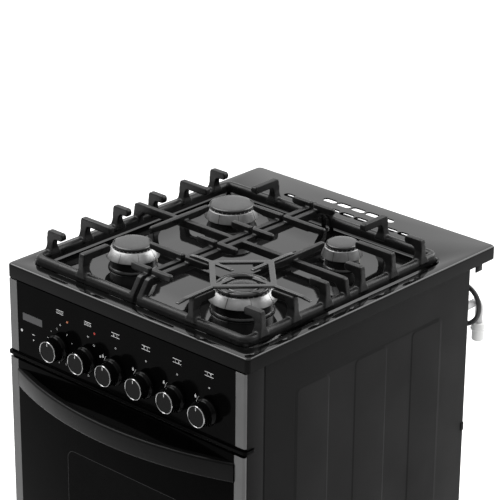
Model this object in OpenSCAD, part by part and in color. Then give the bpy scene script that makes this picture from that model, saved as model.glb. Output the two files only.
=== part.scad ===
// Freestanding gas range, 500 mm wide: four gas burners, an electric fan oven with a drop-down
// door, and a storage drawer. +X is right, -Y is the front, +Z is up. The origin is on the floor
// under the middle of the range.

/* [Overall] */
// Width of the hob deck
deck_w = 500; // [496:1:520]
// Depth from the front of the door handle to the back of the deck
overall_d = 622; // [615:1:640]
// Height of the hob deck above the floor
deck_top = 850; // [848:1:880]
// Width of the body over its side panels
body_w = 496; // [490:1:496]
// Distance from the deck's back edge forward to the back panel
deck_overhang = 60; // [54:1:64]
// Distance the door handle stands in front of the control panel
handle_reach = 50; // [44:1:56]

/* [Hob] */
// Height of the deck's edge
apron_h = 22; // [18:1:24]
// Depth of the well in the deck
well_depth = 8; // [5:1:9]
// Burner distance to the left and right of the middle
burner_x = 114; // [110:1:116]
// Front burners, forward of the origin
burner_front = 125; // [120:1:128]
// Rear burners, behind the origin
burner_rear = 96; // [92:1:100]
// Height of the pan supports above the deck
grate_h = 45; // [42:1:50]
// Width of a pan support's arm
arm_w = 9; // [7:0.5:10]

/* [Control panel] */
// Height of the control panel's lower edge
panel_low = 708; // [706:1:712]
// Height of the knob axes
knob_z = 746; // [740:1:750]
// Radius of a knob's grip
knob_r = 17.5; // [15:0.5:19]
// Distance from the panel to a knob's face
knob_reach = 28; // [24:1:32]

/* [Door and drawer] */
// Top of the oven door
door_top = 695; // [690:1:697]
// Bottom of the oven door
door_low = 236; // [234:1:240]
// Thickness of the oven door
door_t = 38; // [36:1:40]
// Height of the handle band
handle_band = 32; // [26:1:36]
// Top of the drawer front
drawer_top = 228; // [220:1:229]
// Bottom of the drawer front
drawer_low = 66; // [60:1:76]

/* [Oven] */
// Width inside the oven
oven_w = 370; // [350:1:376]
// Height inside the oven
oven_h = 330; // [300:1:340]
// Floor of the oven above the ground
oven_floor = 310; // [305:1:315]

/* [Mains cord] */
// Diameter of the mains cord
cord_d = 8; // [7:0.5:9]
// Radius of the coil at the middle of the cord
coil_r = 42; // [40:1:46]

/* [Hidden] */
$fn = 48;

// Main planes
half_deck = deck_w / 2;
half_body = body_w / 2;
deck_back = overall_d / 2;
handle_front = -overall_d / 2;
panel_face = handle_front + handle_reach;
body_back = deck_back - deck_overhang;
body_top = deck_top - apron_h - 2;
sheet = 2.5;
side_front = panel_face + 3.5;
side_groove = panel_face + 39.5;
column_back = panel_face + 39;
side_low = 60;
frame_face = column_back + 6;

// Hob: [x, y, cap radius, skirt radius] of each burner
front_left = [-burner_x, -burner_front, 31, 41.5];
rear_left = [-burner_x, burner_rear, 35.5, 43.5];
rear_right = [burner_x + 3, burner_rear, 25, 32];
front_right = [burner_x, -burner_front, 41, 52];
burners = [front_left, rear_left, rear_right, front_right];
well_floor = deck_top - well_depth;
well_x = 231;
well_front = panel_face + 24;
well_back = 210;
well_corner = 25;
deck_under = well_floor - 4;
deck_sheet = 2.5;
crown_low = deck_top + 11;
crown_top = deck_top + 27;
cap_top = deck_top + 33;

// Pan supports
grate_top = deck_top + grate_h;
arm_low = grate_top - 12;
bar_w = 10;
bar_top = grate_top - 8;
bar_low = bar_top - 13;
rail_low = deck_top - 2;
rail_top = deck_top + 14;
rail_w = 14;
rail_corner = 12;
outer_x = 216;
inner_x = 8;
rail_front = -228;
rail_back = 198;
cross_y = -13;
front_hook_y = [-198, -128, -58];
rear_hook_y = [21, 92, 163];
wok_t = 4;
wok_ring = 62;

// Control panel: knob positions from left to right. The first two work the oven.
knob_x = [-133.6, -73, -14.4, 49, 112.4, 176];
panel_back = panel_face + 38;
trim_w = 19;
stem_r = 4;
stem_gap = 0.06;
push_travel = 3;

// Door
door_face = panel_face - 3;
door_back = door_face + door_t;
pivot_y = (door_face + door_back) / 2;
pivot_z = door_low + door_t / 2;
door_half = half_body - 1;
tub_half = half_body - sheet - 2;
glass_t = 4;
glass_low = door_low + 5;
window_x = 150;
window_low = 345;
window_top = 600;
handle_z = 665;
handle_t = 12;
handle_half = 228;
handle_sag = door_face - handle_front - 2;
handle_r = (handle_half * handle_half + handle_sag * handle_sag) / (2 * handle_sag);
hinge_x = 190;
pin_r = 3.5;

// Oven
wall = 2;
oven_back = 190;
oven_front = frame_face + 10;
oven_half = oven_w / 2;
oven_top = oven_floor + oven_h;
blanket = 22;
fan_z = oven_floor + 165;
fan_y = oven_back - 20;
wire_r = 2.5;

// Drawer
drawer_half = 212;
drawer_floor = 84;
drawer_side = 110;
drawer_depth = 385;
front_t = 20;

// Mains cord: out of the gland, one loop, down behind the back panel and along the floor to the coil
cord_r = cord_d / 2;
cord_sides = 10;
coil_turns = 2.5;
coil_centre = [20, 262 + coil_r];
coil_outer = coil_r + cord_r;
coil_top = cord_d * (coil_turns + 1);
lead_y = coil_centre.y - coil_r;
tail_y = coil_centre.y + coil_r;
// Where the straight cord just touches the outside of the coil
meet_x = coil_centre.x + sqrt(coil_outer * coil_outer - (coil_r - cord_r) * (coil_r - cord_r));
cord_lead = [[208, 282, 781], [216, 282, 781], [226, 282, 778], [235, 282, 771.5], [242, 282, 762],
    [245, 282, 749], [243, 281.5, 737], [236, 281, 725], [227, 280.5, 718.5], [215, 280, 715.5],
    [199, 280, 715], [183, 280, 715], [165, 279, 715], [148, 278, 711], [137, 277, 701], [131, 276, 687], [130, 275, 671],
    [130, 274, 635], [130, 273, 600], [130, 272, 550], [130, 271, 500], [130, 270, 450], [130, 269, 400],
    [130, 268, 350], [130, 267, 300], [130, 266, 250], [130, 265, 200], [130, 264, 150], [130, 263, 100],
    [130, lead_y, 62], [128, lead_y, 38], [120, lead_y, 20], [107, lead_y, 8], [90, lead_y, cord_r],
    [66, lead_y, cord_r], [meet_x, lead_y, cord_r]];
cord_tail = [[meet_x, tail_y, 22], [60, tail_y, 18], [80, tail_y, 11], [100, tail_y, 6], [120, tail_y, 5],
    [140, tail_y, 8], [158, tail_y, 14], [168, tail_y, 17.5], [178, tail_y, 18]];

// ---------- small helpers ----------

module box(lo, hi) translate(lo) cube(hi - lo);

module rod_x(x0, x1, y, z, r) translate([x0, y, z]) rotate([0, 90, 0]) cylinder(r = r, h = x1 - x0);

module rod_y(y0, y1, x, z, r) translate([x, y1, z]) rotate([90, 0, 0]) cylinder(r = r, h = y1 - y0);

module rod_z(z0, z1, x, y, r) translate([x, y, z0]) cylinder(r = r, h = z1 - z0);

module cone_z(z0, z1, x, y, r0, r1) translate([x, y, z0]) cylinder(r1 = r0, r2 = r1, h = z1 - z0);

// A box with rounded upright edges
module upright_box(lo, hi, r) {
    box([lo.x + r, lo.y, lo.z], [hi.x - r, hi.y, hi.z]);
    box([lo.x, lo.y + r, lo.z], [hi.x, hi.y - r, hi.z]);
    for (x = [lo.x + r, hi.x - r], y = [lo.y + r, hi.y - r]) rod_z(lo.z, hi.z, x, y, r);
}

// A flat plate facing X with rounded corners, between two Y and two Z limits
module upright_plate(x0, x1, y, z, r) {
    box([x0, y[0] + r, z[0]], [x1, y[1] - r, z[1]]);
    box([x0, y[0], z[0] + r], [x1, y[1], z[1] - r]);
    for (cy = [y[0] + r, y[1] - r], cz = [z[0] + r, z[1] - r]) rod_x(x0, x1, cy, cz, r);
}

// A round-ended slot along X, cut through z0 to z1
module slot_z(x, y, length, width, z0, z1) {
    reach = (length - width) / 2;
    box([x - reach, y - width / 2, z0], [x + reach, y + width / 2, z1]);
    for (side = [-1, 1]) rod_z(z0, z1, x + side * reach, y, width / 2);
}

module both_sides() {
    children();
    mirror([1, 0, 0]) children();
}

// A profile in the YZ plane, drawn out from x0 to x1
module along_x(x0, x1, points)
    translate([x0, 0, 0]) rotate([90, 0, 90]) linear_extrude(height = x1 - x0) polygon(points);

// A round tube swept along a list of points
function unit(v) = v / norm(v);
function heading(p, i) = unit(p[min(i + 1, len(p) - 1)] - p[max(i - 1, 0)]);
function across(t) = unit(cross(t, abs(t.y) < 0.9 ? [0, 1, 0] : [1, 0, 0]));
function ring(p, i, r) = let (t = heading(p, i), u = across(t), v = cross(t, u))
    [for (k = [0:cord_sides - 1]) p[i] + r * (cos(360 * k / cord_sides) * u + sin(360 * k / cord_sides) * v)];
function bend(a, b, c, d, t) = 0.5 * (2 * b + (c - a) * t + (2 * a - 5 * b + 4 * c - d) * t * t
    + (3 * b - a - 3 * c + d) * t * t * t);
function smooth(p) = [for (i = [0:len(p) - 2], t = i < len(p) - 2 ? [0, 0.5] : [0, 0.5, 1])
    bend(p[max(i - 1, 0)], p[i], p[i + 1], p[min(i + 2, len(p) - 1)], t)];
module swept_tube(p, r) {
    last = len(p) - 1;
    points = [for (i = [0:last]) each ring(p, i, r)];
    sides = [for (i = [0:last - 1], k = [0:cord_sides - 1]) let (a = i * cord_sides, n = (k + 1) % cord_sides)
        [a + k, a + n, a + n + cord_sides, a + k + cord_sides]];
    start = [for (k = [cord_sides - 1:-1:0]) k];
    end = [for (k = [0:cord_sides - 1]) last * cord_sides + k];
    polyhedron(points, concat(sides, [start, end]), convexity = 8);
}

// ---------- body ----------

// The side is pressed in steps: a plain margin, a raised field, and three pads raised again
relief = 1.4;
field_y = [-157, 186];
field_z = [120, 770];
field_corner = 12;
pad_margin = 3;
pads = [[field_y[0] + pad_margin, -80], [-24, 52], [109, field_y[1] - pad_margin]];
groove_half = 1.2;
flange = 3;
module side_panel() difference() {
    margin_x = half_body - relief;
    union() {
        box([half_body - sheet, side_front, side_low], [margin_x, body_back, body_top]);
        upright_plate(margin_x - 0.2, half_body - relief / 2, field_y, field_z, field_corner);
        for (pad = pads) upright_plate(margin_x - 0.2, half_body, pad,
            [field_z[0] + pad_margin, field_z[1] - pad_margin], field_corner - pad_margin);
        box([half_body - 12, column_back, side_low], [half_body - sheet, column_back + flange, body_top]);
        box([half_body - 5, body_back - flange - 1.5, side_low],
            [half_body - sheet, body_back - 1.5, body_top]);
    }
    box([margin_x - relief / 2, side_groove - groove_half, side_low - 1],
        [half_body + 1, side_groove + groove_half, body_top + 1]);
}
module side_panel_right() color([0.16, 0.16, 0.16]) side_panel();
module side_panel_left() color([0.16, 0.16, 0.16]) mirror([1, 0, 0]) side_panel();

pipe_x = 233;
pipe_y = 298;
pipe_z = 755;
pipe_r = 6.5;
terminal_x = [120, 186];
terminal_z = [751, 811];
terminal_hole = [153, 781, 12];
module back_panel() color([0.55, 0.56, 0.57]) difference() {
    box([-half_body + 4, body_back - 1.5, side_low + 2],
        [half_body - 4, body_back, deck_top - deck_sheet - 0.5]);
    rod_y(body_back - 3, body_back + 1, pipe_x, pipe_z, pipe_r + 1);
    rod_y(body_back - 3, body_back + 1, terminal_hole.x, terminal_hole.y, terminal_hole.z);
    for (x = [-150:50:150], z = [680:20:740]) box([x - 17, body_back - 3, z], [x + 17, body_back + 1, z + 6]);
}

foot_x = 215;
foot_y = [-190, 218];
beam_low = 56;
beam_top = 76;
beam_back = body_back - 5;
module base_frame() color([0.5, 0.5, 0.52]) difference() {
    union() {
        both_sides() {
            box([foot_x - 10, frame_face + 1, beam_low], [half_body - sheet - 1, beam_back, beam_top]);
            box([drawer_half - 22, frame_face + 1, 62], [foot_x - 10, 225, drawer_floor - 0.5]);
        }
        box([-foot_x, frame_face + 1, beam_low], [foot_x, frame_face + 18, beam_top]);
        box([-foot_x, beam_back - 17, beam_low], [foot_x, beam_back, beam_top]);
        box([-drawer_half, frame_face + 1, 60], [drawer_half, beam_back, 62]);
    }
    for (x = [-foot_x, foot_x], y = foot_y) rod_z(beam_low - 1, beam_top + 9, x, y, 5.2);
}

module levelling_feet() color([0.08, 0.08, 0.08])
    for (x = [-foot_x, foot_x], y = foot_y) {
        rod_z(0, 6, x, y, 19);
        cone_z(6, 18, x, y, 19, 11);
        rod_z(18, 50, x, y, 11);
        rod_z(50, 74, x, y, 5);
    }

gap_x = 187;
module front_frame() color([0.13, 0.13, 0.14]) difference() {
    box([-half_body + sheet + 0.5, frame_face, 234],
        [half_body - sheet - 0.5, frame_face + 10, panel_low - 2]);
    box([-gap_x, frame_face - 1, oven_floor - 3], [gap_x, frame_face + 11, oven_top + 3]);
    for (side = [-1, 1]) box([side * hinge_x - 9, frame_face - 1, pivot_z - 14],
        [side * hinge_x + 9, frame_face + 11, pivot_z + 14]);
}

// ---------- oven ----------

module oven_cavity() color([0.12, 0.12, 0.13]) difference() {
    union() {
        box([-oven_half - wall, oven_front, oven_floor - wall],
            [oven_half + wall, oven_back + wall, oven_top + wall]);
        box([-gap_x + 0.3, oven_front - 8, oven_floor - 2.5], [gap_x - 0.3, oven_front + 2, oven_top + 2.5]);
    }
    box([-oven_half, oven_front - 9, oven_floor], [oven_half, oven_back, oven_top]);
    rod_y(oven_back - 1, oven_back + wall + 1, 0, fan_z, 8);
    rod_y(oven_back - 1, oven_back + wall + 1, -130, oven_top - 45, 17);
}

module oven_insulation() color([0.86, 0.82, 0.55]) difference() {
    box([-oven_half - blanket, oven_front + 3, oven_floor - blanket],
        [oven_half + blanket, oven_back + blanket, oven_top + blanket]);
    box([-oven_half - wall, oven_front - 1, oven_floor - wall],
        [oven_half + wall, oven_back + wall, oven_top + wall]);
    rod_y(oven_back - 1, oven_back + blanket + 1, 0, fan_z, 40);
    rod_y(oven_back - 1, oven_back + blanket + 1, -130, oven_top - 45, 22);
}

ladder_x = oven_half - 8;
ladder_z = [for (level = [0:4]) oven_floor + 40 + level * 55];
module rack_ladders() color([0.75, 0.76, 0.78]) both_sides() {
    for (z = ladder_z) for (dz = [0, 15]) rod_y(oven_front + 25, fan_y - 45, ladder_x, z + dz, wire_r);
    for (y = [oven_front + 30, fan_y - 50])
        rod_z(oven_floor + 30, ladder_z[4] + 25, ladder_x + 3, y, wire_r);
    for (y = [oven_front + 30, fan_y - 50], z = [oven_floor + 35, ladder_z[4] + 22])
        rod_x(ladder_x, oven_half, y, z, wire_r);
}

shelf_z = ladder_z[2] + 2 * wire_r + 2.5;
module oven_rack() color([0.78, 0.79, 0.8]) {
    reach = ladder_x - 4;
    for (y = [oven_front + 30, 0, fan_y - 55]) rod_x(-reach, reach, y, shelf_z, wire_r);
    for (x = [-reach, reach]) rod_y(oven_front + 30, fan_y - 55, x, shelf_z, wire_r);
    for (i = [-7:7]) rod_y(oven_front + 30, fan_y - 55, i * 21, shelf_z + 3, 1.6);
}

module grill_element() color([0.3, 0.3, 0.3]) {
    element_z = oven_top - 22;
    for (x = [-120, -60, 0, 60, 120]) rod_y(-130, 80, x, element_z, 3.5);
    for (y = [-126, 76]) rod_x(-120, 120, y, element_z, 3.2);
    for (x = [-30, 30]) rod_y(76, oven_back, x, element_z, 3.5);
    for (x = [-90, 90]) box([x - 2, -40, element_z], [x + 2, -30, oven_top]);
    for (x = [-120, 120]) box([x - 2, -40, element_z + 2], [x + 2, -30, oven_top]);
}

blade_count = 8;
module convection_fan() color([0.7, 0.71, 0.73]) {
    rod_y(fan_y - 4, fan_y - 2, 0, fan_z, 62);
    for (i = [0:blade_count - 1]) translate([0, fan_y, fan_z]) rotate([0, i * 360 / blade_count, 0])
        box([22, -3, -1], [60, 12, 1]);
    rod_y(fan_y - 3, fan_y + 14, 0, fan_z, 10);
    rod_y(fan_y - 3, oven_back + 26, 0, fan_z, stem_r);
}

cover_half = 110;
module fan_cover() color([0.14, 0.14, 0.15]) {
    difference() {
        box([-cover_half, fan_y - 14, fan_z - cover_half], [cover_half, fan_y - 11, fan_z + cover_half]);
        for (i = [-3:3], j = [-3:3]) if (i * i + j * j < 11)
            rod_y(fan_y - 15, fan_y - 10, i * 17, fan_z + j * 17, 6);
    }
    for (x = [-cover_half + 8, cover_half - 8], z = [-cover_half + 8, cover_half - 8])
        rod_y(fan_y - 12, oven_back, x, fan_z + z, 4);
}

module fan_motor() color([0.6, 0.6, 0.62]) difference() {
    union() {
        rod_y(oven_back + 4, oven_back + 44, 0, fan_z, 34);
        box([-38, oven_back + 22, fan_z - 10], [38, oven_back + 26, fan_z + 10]);
    }
    rod_y(oven_back + 3, oven_back + 30, 0, fan_z, stem_r + stem_gap);
}

module oven_lamp() color([0.9, 0.88, 0.8]) {
    rod_y(oven_back - 14, oven_back, -130, oven_top - 45, 20);
    rod_y(oven_back, oven_back + 30, -130, oven_top - 45, 16);
}

// ---------- hob ----------

slot_l = 27;
slot_w = 13;
slot_pitch = 30;
slot_rows = [[deck_back - 66, 4], [deck_back - 37, 2]];
tab_y = [deck_back - 46, deck_back - 30];
module hob_deck() color([0.3, 0.3, 0.31]) {
    difference() {
        upright_box([-half_deck, panel_face, deck_top - apron_h], [half_deck, deck_back, deck_top], 6);
        box([-half_deck + 2.5, panel_face + 2.5, deck_top - apron_h - 1],
            [half_deck - 2.5, deck_back - 2.5, deck_under]);
        // Behind the well the deck is one plain sheet, with no edge turned down at the back
        box([-half_deck + deck_sheet, well_back + 12, deck_top - apron_h - 1],
            [half_deck - deck_sheet, deck_back + 1, deck_top - deck_sheet]);
        upright_box([-well_x, well_front, well_floor], [well_x, well_back, deck_top + 1], well_corner);
        for (row = slot_rows, i = [-row[1]:row[1]])
            slot_z(i * slot_pitch, row[0], slot_l, slot_w, deck_under - 1, deck_top + 1);
        for (b = burners) rod_z(deck_under - 1, well_floor + 1, b.x, b.y, b[3] - 10);
        for (b = burners, side = [-1, 1])
            rod_z(deck_under - 1, well_floor + 1, pin_at(b, side).x, pin_at(b, side).y, 1.9);
    }
    both_sides() box([half_deck - 4.5, tab_y[0], deck_top - apron_h - 12],
        [half_deck - 2.4, tab_y[1], deck_under]);
}

module burner_cups() color([0.07, 0.07, 0.07]) for (b = burners) {
    rod_z(well_floor, crown_low, b.x, b.y, b[3] - 4);
    rod_z(deck_under - 34, well_floor + 1, b.x, b.y, b[3] - 10.5);
    rod_y(b.y - b[3] - 24, b.y, b.x, deck_under - 24, 9);
}

port_count = 24;
module crown(b, ring_bore) color([0.72, 0.72, 0.7]) difference() {
    union() {
        cone_z(crown_low, crown_low + 13, b.x, b.y, b[3], b[2] + 1);
        rod_z(crown_low + 12, crown_top, b.x, b.y, b[2] - 2.5);
    }
    for (i = [0:port_count - 1]) translate([b.x, b.y, crown_top]) rotate([0, 0, i * 360 / port_count])
        box([b[2] - 10, -0.9, -4], [b[2] + 5, 0.9, 1]);
    if (ring_bore > 0) rod_z(crown_low + 3, crown_top + 1, b.x, b.y, ring_bore);
}
module crown_front_left() crown(front_left, 0);
module crown_rear_left() crown(rear_left, 0);
module crown_rear_right() crown(rear_right, 0);
wok_bore = 30;
centre_cap_r = 25;
module crown_front_right() {
    crown(front_right, wok_bore);
    color([0.72, 0.72, 0.7])
        rod_z(crown_low + 3, crown_top - 1, front_right.x, front_right.y, centre_cap_r - 2);
}

module cap(b) color([0.07, 0.07, 0.07]) {
    rod_z(crown_top, cap_top - 2, b.x, b.y, b[2]);
    cone_z(cap_top - 2, cap_top, b.x, b.y, b[2], b[2] - 3);
}
module cap_front_left() cap(front_left);
module cap_rear_left() cap(rear_left);
module cap_rear_right() cap(rear_right);
module cap_front_right() {
    difference() {
        cap(front_right);
        rod_z(crown_top - 1, cap_top + 1, front_right.x, front_right.y, wok_bore);
    }
    color([0.07, 0.07, 0.07]) rod_z(crown_top - 1, cap_top - 3, front_right.x, front_right.y, centre_cap_r);
}

// Pins standing under the back edge of each skirt, one on each side of the middle
pin_angle = 160;
function pin_at(b, side) = [b.x + side * sin(pin_angle) * (b[3] - 1.7), b.y - cos(pin_angle) * (b[3] - 1.7)];
module skirt_pins(side, r) for (b = burners)
    rod_z(deck_under - 12, crown_low - 0.5, pin_at(b, side).x, pin_at(b, side).y, r);
module spark_electrodes() color([0.92, 0.91, 0.88]) skirt_pins(1, 1.5);
module flame_sensors() color([0.6, 0.58, 0.5]) skirt_pins(-1, 1.2);

// Pan supports. A bar or an arm runs between two centre-line points along X or Y.
module bar(p, q, w, z0, z1) box(
    [min(p.x, q.x) - (p.y == q.y ? 0 : w / 2), min(p.y, q.y) - (p.x == q.x ? 0 : w / 2), z0],
    [max(p.x, q.x) + (p.y == q.y ? 0 : w / 2), max(p.y, q.y) + (p.x == q.x ? 0 : w / 2), z1]);
module arm(p, q) bar(p, q, arm_w, arm_low, grate_top);
module low_bar(p, q) bar(p, q, bar_w, bar_low, bar_top);
module riser(x, y) {
    box([x - rail_w / 2, y - rail_w / 2, rail_top - 8], [x + rail_w / 2, y + rail_w / 2, grate_top - 4]);
    box([x - arm_w / 2, y - arm_w / 2, grate_top - 5], [x + arm_w / 2, y + arm_w / 2, grate_top]);
}

// Frame common to both supports, drawn on the right
module grate_frame() {
    difference() {
        upright_box([inner_x - bar_w / 2, rail_front - rail_w / 2, rail_low],
            [outer_x + rail_w / 2, rail_back + rail_w / 2, rail_top], rail_corner);
        box([inner_x - bar_w, rail_front + rail_w / 2, rail_low - 1],
            [outer_x - rail_w / 2, rail_back - rail_w / 2, rail_top + 1]);
    }
    for (y = [rail_front, rail_back]) box([inner_x - bar_w / 2, y - rail_w / 2, rail_low],
        [inner_x + bar_w / 2, y + rail_w / 2, bar_top]);
    low_bar([inner_x, rail_front], [inner_x, rail_back]);
    low_bar([inner_x, cross_y], [outer_x, cross_y]);
    box([outer_x - rail_w / 2, cross_y - bar_w / 2, rail_top - 8],
        [outer_x + bar_w / 2, cross_y + bar_w / 2, bar_top]);
    for (x = [inner_x, outer_x], y = [rail_front, rail_back]) rod_z(well_floor + 0.2, rail_low + 2, x, y, 4);
}

// Hooks on the outer rail, and arms on the inner bar. The middle hook and arm of each row reach further.
module hooks(rows, hook_reach, arm_reach, end_reach) for (i = [0:2]) {
    riser(outer_x, rows[i]);
    arm([outer_x, rows[i]], [outer_x - (i == 1 ? hook_reach : short_hook), rows[i]]);
    arm([inner_x - bar_w / 2, rows[i]], [inner_x + (i == 1 ? arm_reach : end_reach), rows[i]]);
}

// Arms over the front and back rails
module end_arms(x, front_tip, back_tip) {
    riser(x, rail_front);
    arm([x, rail_front], [x, front_tip]);
    riser(x, rail_back);
    arm([x, rail_back], [x, back_tip]);
}

short_hook = 28;
module grate_left() color([0.13, 0.13, 0.14]) mirror([1, 0, 0]) {
    grate_frame();
    hooks(front_hook_y, 60, 65, 33);
    hooks(rear_hook_y, 55, 55, 35);
    end_arms(burner_x, -burner_front - 51, burner_rear + 50);
    arm([burner_x, -burner_front + 38], [burner_x, burner_rear - 53]);
}

module grate_right() color([0.13, 0.13, 0.14]) {
    grate_frame();
    hooks(front_hook_y, outer_x - burner_x - wok_ring, burner_x - inner_x - wok_ring, 33);
    hooks(rear_hook_y, 67, 77, 35);
    end_arms(burner_x, -burner_front - wok_ring, burner_rear + 50);
    arm([burner_x, -burner_front + wok_ring], [burner_x, burner_rear - 40]);
}

// Flat cross with a square ring, resting on the front right arms
module wok_support() color([0.15, 0.15, 0.16]) translate([front_right.x, front_right.y, grate_top]) {
    tip = 20;
    ring_side = wok_ring * sqrt(2);
    for (reach = [[0, 134], [90, 112], [180, 106], [270, 138]]) rotate([0, 0, reach[0]])
        box([tip, -arm_w / 2, 0], [reach[1], arm_w / 2, wok_t]);
    difference() {
        rotate([0, 0, 45]) cube([ring_side + arm_w, ring_side + arm_w, 2 * wok_t], center = true);
        rotate([0, 0, 45]) cube([ring_side - arm_w, ring_side - arm_w, 3 * wok_t], center = true);
        box([-2 * wok_ring, -2 * wok_ring, -2 * wok_t], [2 * wok_ring, 2 * wok_ring, 0]);
    }
}

// ---------- control panel ----------

panel_half = half_body - 1;
module control_panel() color([0.05, 0.05, 0.05]) difference() {
    box([-panel_half + trim_w, panel_face, panel_low], [panel_half - trim_w, panel_back, body_top]);
    box([-panel_half + trim_w + 3, panel_face + 3, panel_low + 3],
        [panel_half - trim_w - 3, panel_back + 1, body_top - 3]);
    for (x = knob_x) rod_y(panel_face - 1, panel_face + 4, x, knob_z, 6);
    box([display_x[0], panel_face - 1, display_z[0]], [display_x[1], panel_face + 4, display_z[1]]);
    for (lamp = lamps) rod_y(panel_face - 1, panel_face + 4, lamp.x, lamp.y, 2);
}

module panel_trims() color([0.6, 0.6, 0.6]) both_sides() difference() {
    union() {
        box([panel_half - trim_w, panel_face - 1, panel_low], [panel_half - 4, panel_face + 3, body_top]);
        rod_z(panel_low, body_top, panel_half - 4, panel_face + 3, 4);
        box([panel_half - trim_w, panel_face + 3, panel_low], [tub_half, panel_back, body_top]);
    }
    box([tub_half, side_front - 0.5, panel_low - 1], [half_body, panel_back + 1, body_top + 1]);
}

module panel_ledge() color([0.04, 0.04, 0.04]) {
    difference() {
        upright_box([-half_deck, panel_face - 4, panel_low - 8],
            [half_deck, panel_face + 20, panel_low - 3], 6);
        for (side = [-1, 1]) box([side * (panel_half - 1) - 2.5, side_front - 0.5, panel_low - 9],
            [side * (panel_half - 1) + 2.5, panel_face + 21, panel_low]);
    }
    box([-tub_half, panel_face, panel_low - 8], [tub_half, panel_back, panel_low]);
}

display_x = [-217, -173.5];
display_z = [765, 777];
module timer_display() color([0.02, 0.02, 0.025]) {
    box([display_x[0], panel_face - 0.4, display_z[0]], [display_x[1], panel_face + 3, display_z[1]]);
    box([display_x[0] + 2, panel_face + 3, display_z[0] - 12],
        [display_x[1] - 2, panel_face + 24, display_z[1] + 6]);
}

lamps = [[-117.4, 792], [-58.8, 791]];
module indicator_lamps() color([1, 0.4, 0.1]) for (lamp = lamps) {
    rod_y(panel_face - 0.6, panel_face + 12, lamp.x, lamp.y, 1.9);
    rod_y(panel_face + 3, panel_face + 12, lamp.x, lamp.y, 4);
}

module knob(i) color([0.05, 0.05, 0.05]) difference() {
    face = panel_face - knob_reach;
    foot = panel_face - push_travel - 1.5;
    union() {
        rod_y(face, foot, knob_x[i], knob_z, knob_r);
        rod_y(foot - 7, foot, knob_x[i], knob_z, knob_r + 4);
        rod_y(face - 0.8, face, knob_x[i], knob_z, knob_r - 0.5);
    }
    rod_y(face + 6, foot + 1, knob_x[i], knob_z, stem_r + stem_gap);
    rod_y(face - 1, face + 0.01, knob_x[i], knob_z, knob_r - 3);
    box([knob_x[i] - 0.8, face - 1, knob_z + knob_r - 6], [knob_x[i] + 0.8, face + 1, knob_z + knob_r]);
}
module knob_1() knob(0);
module knob_2() knob(1);
module knob_3() knob(2);
module knob_4() knob(3);
module knob_5() knob(4);
module knob_6() knob(5);

stem_tip = panel_face - knob_reach + 7;
stem_end = panel_back + 14;
module tap_stem(i) color([0.75, 0.72, 0.5]) {
    rod_y(stem_tip, stem_end, knob_x[i], knob_z, stem_r);
    rod_y(panel_face + 10, panel_face + 12, knob_x[i], knob_z, 7);
}
module tap_stem_3() tap_stem(2);
module tap_stem_4() tap_stem(3);
module tap_stem_5() tap_stem(4);
module tap_stem_6() tap_stem(5);

rail_y = panel_back + 13;
rail_z = knob_z - 26;
feed_z = deck_under - 24;
// Rail tube, four taps, and a feed from each tap up to its burner's inlet
module gas_rail() color([0.72, 0.68, 0.45]) {
    rod_x(knob_x[2] - 30, pipe_x + 7, rail_y, rail_z, 8);
    rod_y(rail_y, body_back - 6, pipe_x, rail_z, 6);
    rod_z(rail_z - 2, pipe_z + 6, pipe_x, body_back - 13, 5.2);
    rod_y(body_back - 15, body_back - 2, pipe_x, pipe_z, 5.6);
    for (i = [2:5]) difference() {
        union() {
            rod_y(panel_back + 3, panel_back + 26, knob_x[i], knob_z, 12);
            rod_z(rail_z, knob_z, knob_x[i], rail_y, 7);
        }
        rod_y(panel_face, stem_end + push_travel + 2, knob_x[i], knob_z, stem_r + stem_gap);
    }
    for (i = [0:3]) {
        b = [front_left, rear_left, front_right, rear_right][i];
        x = knob_x[i + 2];
        y = b.y - b[3] - 28;
        level = knob_z + 16 + i * 9;
        rod_z(knob_z + 6, level + 1, x, rail_y + 6, 2.6);
        rod_x(min(x, b.x) - 5, max(x, b.x) + 5, rail_y + 6, level, 4);
        rod_y(rail_y + 5, y + 5, b.x, level, 3);
        rod_z(level - 5, feed_z + 1, b.x, y, 3.6);
        rod_y(y - 5, y + 4, b.x, feed_z, 4.4);
    }
}

module oven_switches() color([0.85, 0.83, 0.76]) for (i = [0, 1]) {
    box([knob_x[i] - 22, panel_face + 12, knob_z - 20], [knob_x[i] + 22, panel_back + 12, knob_z + 24]);
    rod_y(stem_tip, panel_face + 13, knob_x[i], knob_z, stem_r);
}

// ---------- oven door ----------

chamfer = 9;
// Below this height the trims stay between the side panels, to clear them as the door swings
swing_clear = pivot_z + 15;
shell = 3;
module door_frame() color([0.1, 0.1, 0.1]) difference() {
    front = door_face + glass_t + 2;
    along_x(-tub_half, tub_half, [[front, door_low + chamfer], [front + chamfer, door_low],
        [door_back - chamfer, door_low], [door_back, door_low + chamfer],
        [door_back, door_top], [front, door_top]]);
    box([-tub_half + 30, front - 1, door_low + 42], [tub_half - 30, door_back - shell, door_top - 20]);
    box([-window_x, front, window_low], [window_x, door_back + 1, window_top]);
    for (side = [-1, 1]) {
        box([side * hinge_x - 5.5, pivot_y - 9, door_low - 1],
            [side * hinge_x + 5.5, door_back + 1, pivot_z + 9]);
        rod_x(side * hinge_x - 16, side * hinge_x + 16, pivot_y, pivot_z, pin_r + stem_gap);
    }
}

module door_glass_outer() color([0.03, 0.03, 0.03])
    box([-door_half + trim_w, door_face, glass_low], [door_half - trim_w, door_face + glass_t, door_top]);

module door_glass_inner() color([0.2, 0.22, 0.22])
    box([-window_x + 0.5, door_back - shell - 1, window_low + 0.5],
        [window_x - 0.5, door_back - 0.6, window_top - 0.5]);

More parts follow.
